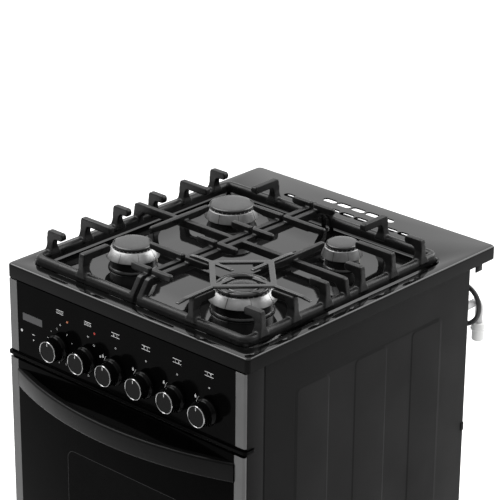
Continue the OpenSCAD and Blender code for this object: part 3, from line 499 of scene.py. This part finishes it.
def build_burner(spot):
    """Cup, segmented skirt, flame ports and cap. The front right one has a ring cap round a small one."""
    b = {key: value / MM for key, value in BURNERS[spot].items()}
    place = Matrix.Translation((b["x"], b["y"], 0))
    floor = (DECK_TOP - WELL_DEPTH) / MM
    skirt, rim, low, top = b["skirt"], b["cap"], b["crown_low"], b["crown_top"]
    wok = spot == "front_right"
    bore = 30

    bm = bmesh.new()
    lathe(bm, [(0, floor - 38), (skirt - 11, floor - 38), (skirt - 10.5, floor - 37), (skirt - 10.5, floor),
               (skirt - 3.6, floor + 0.1), (skirt - 3.2, floor + 1), (skirt - 3.8, floor + 3),
               (skirt - 5.6, floor + 4.5), (skirt - 6, floor + 7), (skirt - 6, low - 1), (skirt - 4.6, low),
               (0, low + 0.2)], place)
    lathe(bm, [(0, 0), (9, 0), (9, skirt + 22), (8, skirt + 24), (0, skirt + 24)],
          facing(b["x"], b["y"], floor - 28, (0, -1, 0)), steps=32)
    # The black core standing up between crown and cap is painted shade: it darkens the gaps between the
    # flame ports under the cap.
    if not wok:
        lathe(bm, [(0, low + 8), (rim - 0.9, low + 8), (rim - 0.9, top + 0.3), (0, top + 0.3)], place)
    else:
        lathe(bm, [(bore + 1, low + 8), (rim - 0.9, low + 8), (rim - 0.9, top + 0.3),
                   (bore + 1, top + 0.3)], place, closed=True)
    dress(link_mm("cup_" + spot, bm), "cabinet", CUP, ["burner_cups"])

    bm = bmesh.new()
    outer = [(skirt - 5, low - 0.2), (skirt - 0.8, low), (skirt, low + 0.6), (skirt - 0.2, low + 1.4),
             (rim + 2.4, top - 1.6), (rim + 1.2, top - 1), (rim - 1.4, top - 1)]
    if wok:
        lathe(bm, outer + [(rim - 1.6, low + 3), (bore - 4, low + 3), (bore - 4, low + 2)], place,
              closed=True)
        lathe(bm, [(bore - 1.2, low + 2), (bore + 0.6, low + 2), (bore + 0.6, top - 0.6),
                   (bore - 1.2, top - 0.6)], place, closed=True)
        lathe(bm, [(0, low + 2.5), (22.5, low + 2.5), (22.5, top - 1), (0, top - 1)], place, steps=56)
    else:
        lathe(bm, outer + [(0, top - 1.2)], place)
    ports = 30 if rim > 30 else 22
    repeat_round(bm, place, ports, lambda: block(bm, (rim - 3, -0.9, top - 1.4),
                                                 (rim + 0.6, 0.9, top + 0.2), 0.25, 1))
    dress(link_mm("crown_" + spot + "_skirt", bm), "cabinet", ALUMINIUM,
          ["crown_" + spot])

    bm = bmesh.new()
    outline = [(rim + 2.4, top - 1.8), (rim + 2.4, top - 1.48), (skirt - 0.05, low + 1.5),
               (skirt + 0.1, low + 0.3), (skirt - 1, low + 0.3)]
    joints = 8
    repeat_round(bm, place, joints, lambda: prism(bm, outline, lambda u, v, d: Vector((u, d, v)),
                                                  -0.3, 0.3), lead=0.3)
    dress(link_mm("skirt_joints_" + spot, bm), "cabinet", CUP)

    bm = bmesh.new()
    cap_top = b["cap_top"]
    edge = [(rim - 1.6, top + 0.3), (rim - 0.5, top + 0.7), (rim, top + 1.8), (rim, top + 3.2),
            (rim - 0.5, top + 4.3), (rim - 1.7, top + 5.1), (rim - 3.6, cap_top - 0.6)]
    if wok:
        lathe(bm, edge + [(rim - 5, cap_top - 0.15), (bore + 3, cap_top - 0.2), (bore + 1.2, cap_top - 0.9),
                          (bore + 0.4, cap_top - 2.2), (bore + 0.2, top + 2), (bore + 0.4, top + 0.3)],
              place, closed=True)
        lathe(bm, [(0, top - 1), (23.6, top - 1), (24.8, top), (25, top + 1), (24.4, top + 2),
                   (22, top + 2.6), (12, top + 2.9), (0, top + 3)], place)
    else:
        lathe(bm, [(0, top + 0.3)] + edge + [(rim * 0.75, cap_top - 0.3), (rim * 0.5, cap_top - 0.1),
                                            (rim * 0.2, cap_top), (0, cap_top)], place)
    dress(link_mm("cap_" + spot + "_disc", bm, 50), "cabinet", CAP, ["cap_" + spot])


for spot in BURNERS:
    build_burner(spot)

# ---------------------------------------------------------------- pan supports

GRATE_TOP = 895
ARM_LOW = 883
ARM_W = 10
BAR_LOW, BAR_TOP = 874, 887
OUTER_X, INNER_X = 216, 8
RAIL_Y = (-228, 198)
RAIL_LOW = 848
CROSS_Y = -13
FRONT_Y, REAR_Y = -125, 96
FRONT_ROW = (-198, -128, -58)
REAR_ROW = (21, 92, 163)
BURNER_X = 114
WOK_RING = 62


def rail_section(across):
    """Half-round bar on straight sides, standing across the given plan direction."""
    shape = [(-7, 0), (-7, 9), (-6.2, 12.4), (-4, 15), (0, 16), (4, 15), (6.2, 12.4), (7, 9), (7, 0)]
    return [across * u + Vector((0, 0, RAIL_LOW + v)) for u, v in shape]


def rail(bm, side):
    """The low bar round three sides of a pan support."""
    path = [Vector((side * (INNER_X - 4), RAIL_Y[0], 0))]
    bend = 11
    for cy, start in ((RAIL_Y[0] + bend, -90), (RAIL_Y[1] - bend, 0)):
        path += arc((OUTER_X - bend, cy), bend, start, start + 90, 8,
                    lambda u, v: Vector((side * u, v, 0)))
    path.append(Vector((side * (INNER_X - 4), RAIL_Y[1], 0)))
    loops = []
    for i, point in enumerate(path):
        along = (path[min(i + 1, len(path) - 1)] - path[max(i - 1, 0)]).normalized()
        loops.append([point + q for q in rail_section(Vector((along.y, -along.x, 0)))])
    skin(bm, loops)


def hook(bm, foot, inward, reach):
    """A leaning riser that turns over into a short arm. foot is a point on the rail's centre line."""
    foot, inward = Vector(foot), Vector(inward)
    across = Vector((-inward.y, inward.x, 0))
    outline = [(-8, 856), (-7, 866), (-6.4, 880), (-5.4, 890), (-3.6, 894), (-1.6, 895), (reach - 4, 895),
               (reach - 0.8, 893.4), (reach, 889.6), (reach - 0.6, 885), (reach - 3, 883), (13, 882.5),
               (9, 879.5), (7.2, 874), (7.4, 866), (9, 856)]
    prism(bm, outline, lambda u, v, d: foot + inward * u + across * d + Vector((0, 0, v)),
          -ARM_W / 2, ARM_W / 2)
    skin(bm, [[foot + inward * (u * grow + 0.4) + across * (w * grow) + Vector((0, 0, z))
               for u, w in ((-1, -1), (1, -1), (1, 1), (-1, 1))]
              for z, grow in ((856, 10), (861, 9), (867, 7), (875, 5.2), (884, 4.4))])


def arm(bm, start, end, taper=0.0):
    """A straight arm between two plan points. A taper lowers and narrows its far end."""
    start, end = Vector((*start, 0)), Vector((*end, 0))
    along = (end - start).normalized()
    across = Vector((-along.y, along.x, 0))
    length = (end - start).length
    loops = []
    for u, low, high, half in ((0, ARM_LOW, GRATE_TOP, 4.5), (length * 0.6, ARM_LOW, GRATE_TOP, 4.5),
                               (length - 5, ARM_LOW + 3 * taper, GRATE_TOP, 4.5 - taper),
                               (length - 1.5, ARM_LOW + 1.5 + 3 * taper, GRATE_TOP - 0.6, 4 - taper),
                               (length, ARM_LOW + 4 + 2 * taper, GRATE_TOP - 2.5, 3 - taper / 2)):
        at = start + along * u
        loops.append([at + across * (s * half) + Vector((0, 0, z))
                      for s, z in ((-1, low), (-1, high), (1, high), (1, low))])
    skin(bm, loops)


def build_grate(side, body, node):
    """One cast pan support, over the burners on one side (1 is the right)."""
    right = side > 0
    inward = (-side, 0, 0)
    x = side * BURNER_X
    bm = bmesh.new()
    rail(bm, side)
    for y in RAIL_Y:
        for foot_x in (INNER_X, OUTER_X):
            lathe(bm, [(0, 842.4), (3.6, 842.4), (4, 843), (4, 852), (0, 852)],
                  Matrix.Translation((side * foot_x, y, 0)), steps=20)
    (y0, y1), low, top = RAIL_Y, BAR_LOW, BAR_TOP
    bar = [(y0 - 7, RAIL_LOW), (y0 - 5, 862), (y0 + 11, top - 2), (y0 + 16, top), (y1 - 21, top),
           (y1 - 16, top - 2), (y1 + 5, 862), (y1 + 7, RAIL_LOW), (y1 - 7, RAIL_LOW), (y1 - 9, 860),
           (y1 - 20, low), (y0 + 20, low), (y0 + 9, 860), (y0 + 7, RAIL_LOW)]
    prism(bm, bar, lambda u, v, d: Vector((side * INNER_X + d, u, v)), -4.5, 4.5)
    bar = [(INNER_X, low), (INNER_X, top), (OUTER_X - 2, top), (OUTER_X + 3, top - 2), (OUTER_X + 7, 862),
           (OUTER_X + 7, 856), (OUTER_X - 8, 856), (OUTER_X - 9, 864), (OUTER_X - 18, low)]
    prism(bm, bar, lambda u, v, d: Vector((side * u, CROSS_Y + d, v)), -4.5, 4.5)
    front_gap = WOK_RING if right else 51
    rows = ((FRONT_ROW, OUTER_X - BURNER_X - WOK_RING if right else 60,
             BURNER_X - INNER_X - WOK_RING if right else 65, 33),
            (REAR_ROW, 67 if right else 55, 77 if right else 55, 35))
    for row, outer_reach, inner_reach, end_reach in rows:
        for y in row:
            middle = y == row[1]
            hook(bm, (side * OUTER_X, y, 0), inward, outer_reach if middle else 28)
            far_x = INNER_X + (inner_reach if middle else end_reach)
            arm(bm, (side * (INNER_X - 5), y), (side * far_x, y), taper=0.8 if middle else 0.3)
    hook(bm, (x, RAIL_Y[0], 0), (0, 1, 0), FRONT_Y - front_gap - RAIL_Y[0])
    hook(bm, (x, RAIL_Y[1], 0), (0, -1, 0), RAIL_Y[1] - REAR_Y - 50)
    arm(bm, (x, CROSS_Y), (x, FRONT_Y + (WOK_RING if right else 38)), taper=0.8)
    arm(bm, (x, CROSS_Y), (x, REAR_Y - (40 if right else 53)), taper=0.8)
    piece = link_mm(body + "_casting", bm)
    cast(piece, 1.2, 3)
    dress(piece, body, GRATE, [node])


build_grate(-1, "pan_support_left", "grate_left")
build_grate(1, "pan_support_right", "grate_right")


def build_wok_support():
    """Four flat blades on a square ring, standing on the front right arms."""
    thick = 4
    bm = bmesh.new()
    centre = Vector((BURNER_X, FRONT_Y, GRATE_TOP))
    for quarter, reach in enumerate((134, 112, 106, 138)):
        along = Matrix.Rotation(math.pi / 2 * quarter, 3, "Z") @ Vector((1, 0, 0))
        across = Vector((-along.y, along.x, 0))
        drop = 1.5 if reach > 120 else 0
        outline = [(20, 0.8), (22, 0), (reach - 22, 0), (reach - 2, -drop), (reach, 0.4 - drop),
                   (reach - 1.5, 2.6 - drop), (reach - 16, thick), (24, thick), (20.6, thick - 1)]
        prism(bm, outline, lambda u, v, d: centre + along * u + across * d + Vector((0, 0, v)), -3.2, 3.2)
    outside, inside = WOK_RING + 6.4, WOK_RING - 6.4
    skin_ring(bm, [[centre + Vector((r * math.cos(a), r * math.sin(a), z))
                    for a in (0, math.pi / 2, math.pi, 1.5 * math.pi)]
                   for r, z in ((outside, 0), (outside, thick), (inside, thick), (inside, 0))])
    piece = link_mm("wok_support_cross", bm)
    cast(piece, 0.8, 2)
    dress(piece, "wok_ring", WOK, ["wok_support"])


build_wok_support()

# ---------------------------------------------------------------- body sides

SIDE_X = 248
SIDE_LOW, BODY_TOP = 60, 826
SIDE_FRONT, BODY_BACK = -257.5, 251
FIELD = (-157, 186, 120, 770)
PADS = ((-154, -80), (-24, 52), (109, 183))


def build_side(side):
    """A pressed side: plain margin, raised field, three pads raised again, and a slot near the front."""
    bm = bmesh.new()

    def outline_at(y0, y1, z0, z1, radius, x):
        return [Vector((side * x, y, z)) for y, z in rounded_outline(y0, y1, z0, z1, radius, 6)]

    def raised(y0, y1, z0, z1, radius, x_low, x_high, slope):
        loops = [outline_at(y0, y1, z0, z1, radius, x_low - 0.6)]
        for k in range(7):
            share = k / 6
            inset = slope * share
            rise = (1 - math.cos(math.pi * share)) / 2
            loops.append(outline_at(y0 + inset, y1 - inset, z0 + inset, z1 - inset,
                                    max(radius - inset, 1), x_low + (x_high - x_low) * rise))
        skin(bm, loops)

    def strip(x_low, x_high, y0, y1, bevel=0.0):
        ends = sorted((side * x_low, side * x_high))
        block(bm, (ends[0], y0, SIDE_LOW + 1), (ends[1], y1, BODY_TOP - 1), bevel)

    base = SIDE_X - 1.4
    for y0, y1 in ((SIDE_FRONT, -222.9), (-220.1, BODY_BACK)):
        middle = side * (base - 0.5)
        block(bm, (middle - 0.6, y0, SIDE_LOW), (middle + 0.6, y1, BODY_TOP), 0.5, 3)
    strip(SIDE_X - 4, SIDE_X - 2.5, -224, -219)
    raised(*FIELD, 12, base + 0.1, SIDE_X - 0.7, 4)
    for y0, y1 in PADS:
        raised(y0, y1, FIELD[2] + 3, FIELD[3] - 3, 10, SIDE_X - 0.7, SIDE_X, 4)
    strip(SIDE_X - 12, SIDE_X - 2, -222, -219, 0.4)
    strip(SIDE_X - 5, SIDE_X - 2, BODY_BACK - 4.5, BODY_BACK - 1.5, 0.4)
    clip = side * (SIDE_X - 1.5)
    block(bm, (clip - 1.2, BODY_BACK - 6, 548), (clip + 1.2, BODY_BACK + 1, 562), 0.7)
    name = "side_panel_right" if side > 0 else "side_panel_left"
    dress(link_mm(name + "_sheet", bm, 30), "cabinet", SIDE, [name])


build_side(1)
build_side(-1)

# ---------------------------------------------------------------- control panel

PANEL_Y = -261
KNOB_X = [round((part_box(f"knob_{i}")[0].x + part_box(f"knob_{i}")[1].x) / 2 / MM, 2) for i in range(1, 7)]
KNOB_Z = (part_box("knob_1")[0].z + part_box("knob_1")[1].z) / 2 / MM
MARK_DEPTHS = (-0.05, 0.12)


def on_panel(u, v, d):
    """A point on the control panel: u to the right, v up, d out of the face."""
    return Vector((u, PANEL_Y - d, v))


def stroke(bm, x, z, length, angle=0.0, width=0.7):
    """A printed line, centred at (x, z)."""
    turn = math.radians(angle)
    c, s = math.cos(turn), math.sin(turn)
    corners = [(a * length / 2, b * width / 2) for a, b in ((-1, -1), (1, -1), (1, 1), (-1, 1))]
    prism(bm, [(x + c * a - s * b, z + s * a + c * b) for a, b in corners], on_panel, *MARK_DEPTHS)


def dot(bm, x, z, radius, inner=0.0):
    """A printed dot, or a ring where inner is given."""
    def circle(r):
        return [(x + r * math.cos(2 * math.pi * k / 20), z + r * math.sin(2 * math.pi * k / 20))
                for k in range(20)]
    if not inner:
        prism(bm, circle(radius), on_panel, *MARK_DEPTHS)
        return
    low, high = MARK_DEPTHS
    skin_ring(bm, [[on_panel(u, v, d) for u, v in circle(r)]
                   for r, d in ((radius, low), (radius, high), (inner, high), (inner, low))])


def flame(bm, x, z, size):
    """A printed flame."""
    outline = [(0, -1), (0.45, -0.85), (0.62, -0.4), (0.5, 0.1), (0.2, 0.5), (0.05, 1), (-0.2, 0.55),
               (-0.55, 0.1), (-0.62, -0.4), (-0.45, -0.85)]
    prism(bm, [(x + size * u, z + size * v) for u, v in outline], on_panel, *MARK_DEPTHS)


def build_print():
    """Plain marks round the knobs: dial ticks, off dots, flames, and which burner each knob works."""
    bm = bmesh.new()
    mark_z = KNOB_Z + 57
    for i, x in enumerate(KNOB_X):
        dot(bm, x, KNOB_Z + 36, 1.5, 0.9)
        if i < 2:
            ticks = 12 if i == 0 else 8
            span = 345 if i == 0 else 270
            for k in range(1, ticks):
                turn = math.radians(90 - span * k / (ticks - 1) + (0 if i == 0 else 12))
                u, v = math.cos(turn), math.sin(turn)
                if i == 0:
                    stroke(bm, x + 28 * u, KNOB_Z + 28 * v, 4 if k % 2 else 2.4, math.degrees(turn), 0.8)
                else:
                    dot(bm, x + 28.5 * u, KNOB_Z + 28.5 * v, 1.8, 1.2 if k % 2 else 0)
            for step in (-1, 1):
                stroke(bm, x, mark_z + 2.6 * step, 15, 0, 0.9)
            for step in range(-2, 3):
                dot(bm, x + 3 * step, mark_z, 0.8)
            continue
        for step in (-1, 1):
            stroke(bm, x, mark_z + 3 * step, 17, 0, 0.9)
        burner = ((-1, -1), (-1, 1), (1, -1), (1, 1))[i - 2]
        for u in (-1, 1):
            for v in (-1, 1):
                chosen = (u, v) == burner
                dot(bm, x + 3.4 * u, mark_z + 1.1 * v, 1.1 if chosen else 0.55)
        flame(bm, x - 27, KNOB_Z + 15, 3.2)
        flame(bm, x - 8, KNOB_Z - 25.5, 1.8)
        for k in range(9):
            turn = math.radians(146 + 9 * k)
            stroke(bm, x + 26 * math.cos(turn), KNOB_Z + 26 * math.sin(turn), 3.6,
                   math.degrees(turn) + 90, 0.5 + 0.12 * k)
    dot(bm, -220.5, KNOB_Z, 2.2)
    stroke(bm, -194.4, KNOB_Z, 6, 0, 1)
    dot(bm, -194.4, KNOB_Z - 9, 1.2)
    dress(link_mm("panel_print", bm), "cabinet", PRINT)


build_print()


def build_knob(i):
    """A turned knob on a stepped skirt, with a bright ring and a pointer on its face."""
    x = KNOB_X[i]
    place = facing(x, PANEL_Y, KNOB_Z, (0, -1, 0))
    bm = bmesh.new()
    lathe(bm, [(4.06, 4.5), (20.4, 4.5), (21.3, 5.1), (21.5, 6), (21.4, 7.8), (20.8, 9.2), (19.6, 10.4),
               (18.4, 11.6), (17.8, 13.4), (17.5, 16), (17.3, 25), (17.1, 26.6), (16.4, 27.5),
               (15.2, 27.8), (15, 27.2), (0.4, 27.2), (0.4, 22), (4.06, 22)], place, closed=True)
    body = "knob_%d_body" % (i + 1)
    dress(link_mm("knob_%d_grip" % (i + 1), bm, 40), body, KNOB, ["knob_%d" % (i + 1)])

    bm = bmesh.new()
    lathe(bm, [(15.2, 27.1), (15.5, 28), (16, 28.4), (16.6, 28.1), (16.9, 27.2), (16, 26.6)], place,
          closed=True)
    block(bm, (x - 0.8, PANEL_Y - 28.2, KNOB_Z + 9.5), (x + 0.8, PANEL_Y - 27, KNOB_Z + 15), 0.3)
    dress(link_mm("knob_%d_ring" % (i + 1), bm), body, RING)


for i in range(6):
    build_knob(i)


def build_lamps():
    """Domed lenses standing through the panel."""
    for name, material in (("amber", LENS), ("red", LENS_RED)):
        low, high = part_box("indicator_lamps")
        x = (low.x + 4 * MM if name == "amber" else high.x - 4 * MM) / MM
        z = (low.z + high.z) / 2 / MM
        bm = bmesh.new()
        lathe(bm, [(0, -8), (1.9, -8), (1.9, 0.2), (1.4, 0.5), (0, 0.6)],
              facing(x, PANEL_Y, z, (0, -1, 0)), steps=32)
        dress(link_mm("lamp_" + name, bm), "cabinet", material,
              ["indicator_lamps"] if name == "amber" else ())


build_lamps()

# ---------------------------------------------------------------- oven door

DOOR_Y = -264
DOOR_LOW, DOOR_TOP = 241, 695
WINDOW_HALF, WINDOW_LOW, WINDOW_TOP = 120, 345, 577
WINDOW_CORNER = 14


def on_door(u, v, d):
    """A point on the door glass: u to the right, v up, d out of the face."""
    return Vector((u, DOOR_Y - d, v))


def build_door_glass():
    """Black glass with polished edges and a tinted window edged by a fine printed line."""
    bm = bmesh.new()
    block(bm, (-228, DOOR_Y, DOOR_LOW), (228, DOOR_Y + 4, DOOR_TOP), 0.8, 3)
    dress(link_mm("door_glass_front", bm), "door", GLASS, ["door_glass_outer"])

    def window(grow):
        return rounded_outline(-WINDOW_HALF - grow, WINDOW_HALF + grow, WINDOW_LOW - grow,
                               WINDOW_TOP + grow, WINDOW_CORNER + grow)

    bm = bmesh.new()
    prism(bm, window(0), on_door, -0.2, 0.06)
    dress(link_mm("door_window_tint", bm), "door", WINDOW)

    bm = bmesh.new()
    skin_ring(bm, [[on_door(u, v, depth) for u, v in window(grow)]
                   for grow, depth in ((0.8, -0.1), (0.8, 0.1), (0, 0.1), (0, -0.1))])
    dress(link_mm("door_window_line", bm), "door", EDGE_LINE)


build_door_glass()


def build_handle():
    """A bowed band that stands off the glass in the middle and dies into it at both ends."""
    half, front, band, thick = 228, -311, 32, 12
    sag = DOOR_Y - front - 2
    radius = (half * half + sag * sag) / (2 * sag)
    low = 649
    section = []
    for cu, cv, start in ((4, 4, 180), (4, band - 4, 90), (thick - 2, band - 2, 0), (thick - 2, 2, -90)):
        r = 4 if cu == 4 else 2
        for k in range(5):
            turn = math.radians(start + 90 - 90 * k / 4)
            section.append((cu + r * math.cos(turn), cv + r * math.sin(turn)))
    loops = []
    limit = math.asin(half / radius)
    for k in range(81):
        angle = limit * (k / 40 - 1)
        out = Vector((math.sin(angle), -math.cos(angle), 0))
        centre = Vector((0, front + radius, 0))
        loops.append([centre + out * (radius - u) + Vector((0, 0, low + v)) for u, v in section])
    bm = bmesh.new()
    skin(bm, loops)
    dress(link_mm("door_handle_band", bm, 50), "door", HANDLE, ["door_handle"])


build_handle()

# ---------------------------------------------------------------- gas inlet and mains cord

PIPE_X, PIPE_Y, PIPE_Z = 233, 298, 755


def build_inlet():
    """The grey pipe out of the back, its elbow, and the white threaded fitting under it."""
    bend = 14
    path = [(PIPE_X, BODY_BACK - 1.5, PIPE_Z), (PIPE_X, PIPE_Y - bend, PIPE_Z)]
    path += arc((PIPE_Y - bend, PIPE_Z - bend), bend, 90, 0, 12, lambda u, v: (PIPE_X, u, v))[1:]
    path.append((PIPE_X, PIPE_Y, 716))
    bm = bmesh.new()
    tube(bm, path, 6.5, 32)
    dress(link_mm("inlet_pipe", bm), "cabinet", PIPE, ["gas_inlet"])

    bm = bmesh.new()
    lathe(bm, [(0, 687), (9, 687), (10.1, 688), (10.48, 689.4), (10.48, 705), (12, 705.2), (12.8, 706),
               (12.8, 707.4), (12, 708.2), (11.8, 709), (11.8, 715), (11, 716.4), (9.4, 717), (0, 717)],
          Matrix.Translation((PIPE_X, PIPE_Y, 0)))
    dress(link_mm("inlet_fitting", bm), "cabinet", FITTING)


build_inlet()

CORD_Y = 282
CORD_R = 4
COIL = (20, 304)
COIL_R = 42
TERMINAL = ((120, BODY_BACK, 751), (186, 296, 811))
GLAND_Z = 781
PLUG_Z = 18


def cord_route():
    """The cord's centre line: gland, a loop, the drop behind the back, the floor, a coil and the tail."""
    def turn(centre, radius, start, end, steps):
        return enumerate(arc(centre, radius, start, end, steps, lambda u, v: (u, v)))

    loop, loop_r = (212, 748), 33
    drop_x, drop_top, drop_bend, floor_bend = 130, 679, 36, 40
    points = [Vector((208, CORD_Y, GLAND_Z))]
    points += [Vector((u, CORD_Y - 2 * i / 24, v)) for i, (u, v) in turn(loop, loop_r, 90, -90, 24)]
    for k in range(1, 7):
        points.append(Vector((loop[0] - 46 * k / 6, CORD_Y - 2 - k / 6, loop[1] - loop_r)))
    points += [Vector((u, 279 - 3 * i / 9, v)) for i, (u, v) in
               turn((drop_x + drop_bend, drop_top), drop_bend, 90, 180, 9)][1:]
    lead_y = COIL[1] - COIL_R
    for k in range(1, 41):
        share = k / 40
        ease = min(1.0, share * 1.08)
        points.append(Vector((drop_x, 276 + (lead_y - 276) * ease,
                              drop_top + (CORD_R + floor_bend - drop_top) * share)))
    bend_x = drop_x - floor_bend
    points += [Vector((u, lead_y, v)) for _, (u, v) in
               turn((bend_x, CORD_R + floor_bend), floor_bend, 0, -90, 10)][1:]
    for k in range(1, 8):
        points.append(Vector((bend_x + (COIL[0] - bend_x) * k / 7, lead_y, CORD_R)))
    turns, steps, coil_rise = 2.5, 100, 20
    for k in range(1, steps + 1):
        angle = math.radians(-90 - 360 * turns * k / steps)
        points.append(Vector((COIL[0] + COIL_R * math.cos(angle), COIL[1] + COIL_R * math.sin(angle),
                              CORD_R + coil_rise * k / steps)))
    tail_y, coil_top = COIL[1] + COIL_R, CORD_R + coil_rise
    for k in range(1, 25):
        share = k / 24
        x = COIL[0] + 158 * share
        sag = coil_top - 19 * math.sin(math.pi * min(1, share / 1.28)) ** 1.3
        lift = coil_top + (PLUG_Z - coil_top) * share
        points.append(Vector((x, tail_y, max(CORD_R + 0.5, min(sag, lift)))))
    return points


def build_cord():
    """A round rubber cord with a plug, and the box and gland where it leaves the back."""
    bm = bmesh.new()
    block(bm, TERMINAL[0], TERMINAL[1], 3, 3)
    for dz in (-22, 22):
        screw = facing(153, TERMINAL[1][1] - 0.8, GLAND_Z + dz, (0, 1, 0))
        lathe(bm, [(0, -2), (4, -2), (4, 0.8), (3, 1.4), (0, 1.5)], screw, steps=24)
    dress(link_mm("terminal_box", bm), "cabinet", PLASTIC, ["terminal_cover"])
    bm = bmesh.new()
    profile = [(0, -3), (9, -3), (9, 1)]
    for k in range(6):
        base = 2 + 3.4 * k
        r = 8.6 - 0.62 * k
        profile += [(r, base), (r, base + 2), (r - 1, base + 2.4), (r - 1, base + 3)]
    profile += [(CORD_R + 0.6, 21.6), (CORD_R + 0.1, 21.9), (0, 21.9)]
    lathe(bm, profile, facing(TERMINAL[1][0], CORD_Y, GLAND_Z, (1, 0, 0)), steps=40)
    gland = dress(link_mm("cord_gland", bm), "cabinet", RUBBER_PAD)

    route = cord_route()
    data = bpy.data.curves.new("cord_line", "CURVE")
    data.dimensions = "3D"
    data.bevel_depth = CORD_R * MM
    data.bevel_resolution = 5
    data.use_fill_caps = True
    spline = data.splines.new("POLY")
    spline.points.add(len(route) - 1)
    for point, place in zip(spline.points, route):
        point.co = (*(place * MM), 1)
    spline.use_smooth = True
    cord = bpy.data.objects.new("cord_line", data)
    bpy.context.scene.collection.objects.link(cord)
    dress(cord, "cabinet", RUBBER, ["mains_cord", "cord_coil"])

    end = route[-1]
    plug_place = facing(end.x + 0.1, end.y, PLUG_Z, (1, 0, 0))
    bm = bmesh.new()
    lathe(bm, [(0, 0), (6.6, 0), (7.6, 1.6), (8, 9), (10, 11), (15.6, 13), (17.4, 15), (18, 18), (18, 31),
               (17.2, 34), (15, 35.6), (0, 36)], plug_place, steps=56)
    ribs = 10
    repeat_round(bm, plug_place, ribs, lambda: block(bm, (16.2, -1.4, 19), (18, 1.4, 31), 0.6))
    plug = dress(link_mm("plug_grip", bm), "cabinet", RUBBER, ["cord_plug"])
    bm = bmesh.new()
    for dy in (-9.5, 9.5):
        lathe(bm, [(0, 35), (2.4, 35), (2.4, 53), (1.8, 54.6), (0, 55)],
              facing(end.x, end.y + dy, PLUG_Z, (1, 0, 0)), steps=24)
    pins = dress(link_mm("plug_pins", bm), "cabinet", CHROME)


build_cord()

# ---------------------------------------------------------------- pieces kept from the CAD model

KEPT = (
    (ZINC, 0.4, "galvanised", ("back_panel", "base_frame", "fan_motor", "door_hinges", "drawer_box")),
    (FRONT_FRAME, 0.8, "front_frame_enamel", ("front_frame",)),
    (PLASTIC, 1.0, "black_plastic", ("levelling_feet",)),
    (OVEN, 0.8, "oven_enamel", ("oven_cavity", "fan_cover")),
    (WOOL, 0.0, "glass_wool", ("oven_insulation",)),
    (CHROME, 0.0, "rack_chrome", ("rack_ladders", "oven_rack")),
    (ELEMENT, 0.0, "element_metal", ("grill_element",)),
    (FAN, 0.3, "fan_aluminium", ("convection_fan",)),
    (LAMP, 0.8, "lamp_glass", ("oven_lamp",)),
    (CERAMIC, 0.2, "ceramic", ("spark_electrodes",)),
    (SENSOR, 0.2, "sensor_metal", ("flame_sensors",)),
    (PANEL, 0.0, "panel_gloss", ("control_panel",)),
    (SILVER, 0.5, "trim_silver", ("panel_trims", "door_trims")),
    (LEDGE, 0.8, "ledge_black", ("panel_ledge",)),
    (DISPLAY, 0.2, "display_glass", ("timer_display",)),
    (BRASS, 0.0, "brass", ("tap_stem_3", "tap_stem_4", "tap_stem_5", "tap_stem_6", "gas_rail")),
    (CREAM, 0.6, "cream_plastic", ("oven_switches",)),
    (DOOR_STEEL, 0.8, "door_steel", ("door_frame",)),
    (INNER_GLASS, 0.5, "inner_glass", ("door_glass_inner",)),
    (DRAWER, 1.2, "drawer_gloss", ("drawer_front",)),
)

for material, width, slot_name, names in KEPT:
    for name in names:
        piece = NODES[name]
        piece.data.materials.clear()
        piece.data.materials.append(material)
        if width:
            soften(name, width * MM)
        else:
            piece.data.shade_smooth()
            piece.data.set_sharp_from_angle(angle=math.radians(35))

# ---------------------------------------------------------------- floor and light


def build_stage():
    """A pale floor, a white surround that dims towards the front, and soft lamps above and behind."""
    bm = bmesh.new()
    bmesh.ops.create_grid(bm, x_segments=1, y_segments=1, size=14)
    floor = link_mesh("floor", bm)
    pale = finish("pale_floor", grey(0.9), 0.8, specular=0.1, smudge=0.05, mottle=0.01, mottle_scale=3)
    floor.data.materials.append(pale)

    world = bpy.data.worlds.new("surround")
    world.use_nodes = True
    tree = world.node_tree
    background = tree.nodes["Background"]
    background.inputs["Color"].default_value = (1, 1, 1, 1)
    lean = tree.nodes.new("ShaderNodeVectorMath")
    lean.operation = "DOT_PRODUCT"
    lean.inputs[1].default_value = (-0.35, 0.6, 0.7)
    tree.links.new(tree.nodes.new("ShaderNodeTexCoord").outputs["Generated"], lean.inputs[0])
    fade = carry(tree.nodes, -0.5, 0.5, 0.3, 1.3)
    tree.links.new(lean.outputs["Value"], fade.inputs["Value"])
    tree.links.new(fade.outputs["Result"], background.inputs["Strength"])
    bpy.context.scene.world = world

    for name, place, aim, size, power in (
            ("key_light", (-1.8, -0.4, 3.4), (0, 0, 0.4), 2.4, 110),
            ("back_light", (0.8, 3.0, 2.8), (0, 0, 0.4), 2.8, 110)):
        data = bpy.data.lights.new(name, "AREA")
        data.shape = "SQUARE"
        data.size = size
        data.energy = power
        lamp = bpy.data.objects.new(name, data)
        lamp.location = place
        lamp.rotation_mode = "QUATERNION"
        lamp.rotation_quaternion = (Vector(aim) - Vector(place)).to_track_quat("-Z", "Y")
        bpy.context.scene.collection.objects.link(lamp)
    bpy.context.scene.view_settings.view_transform = "Standard"


build_stage()
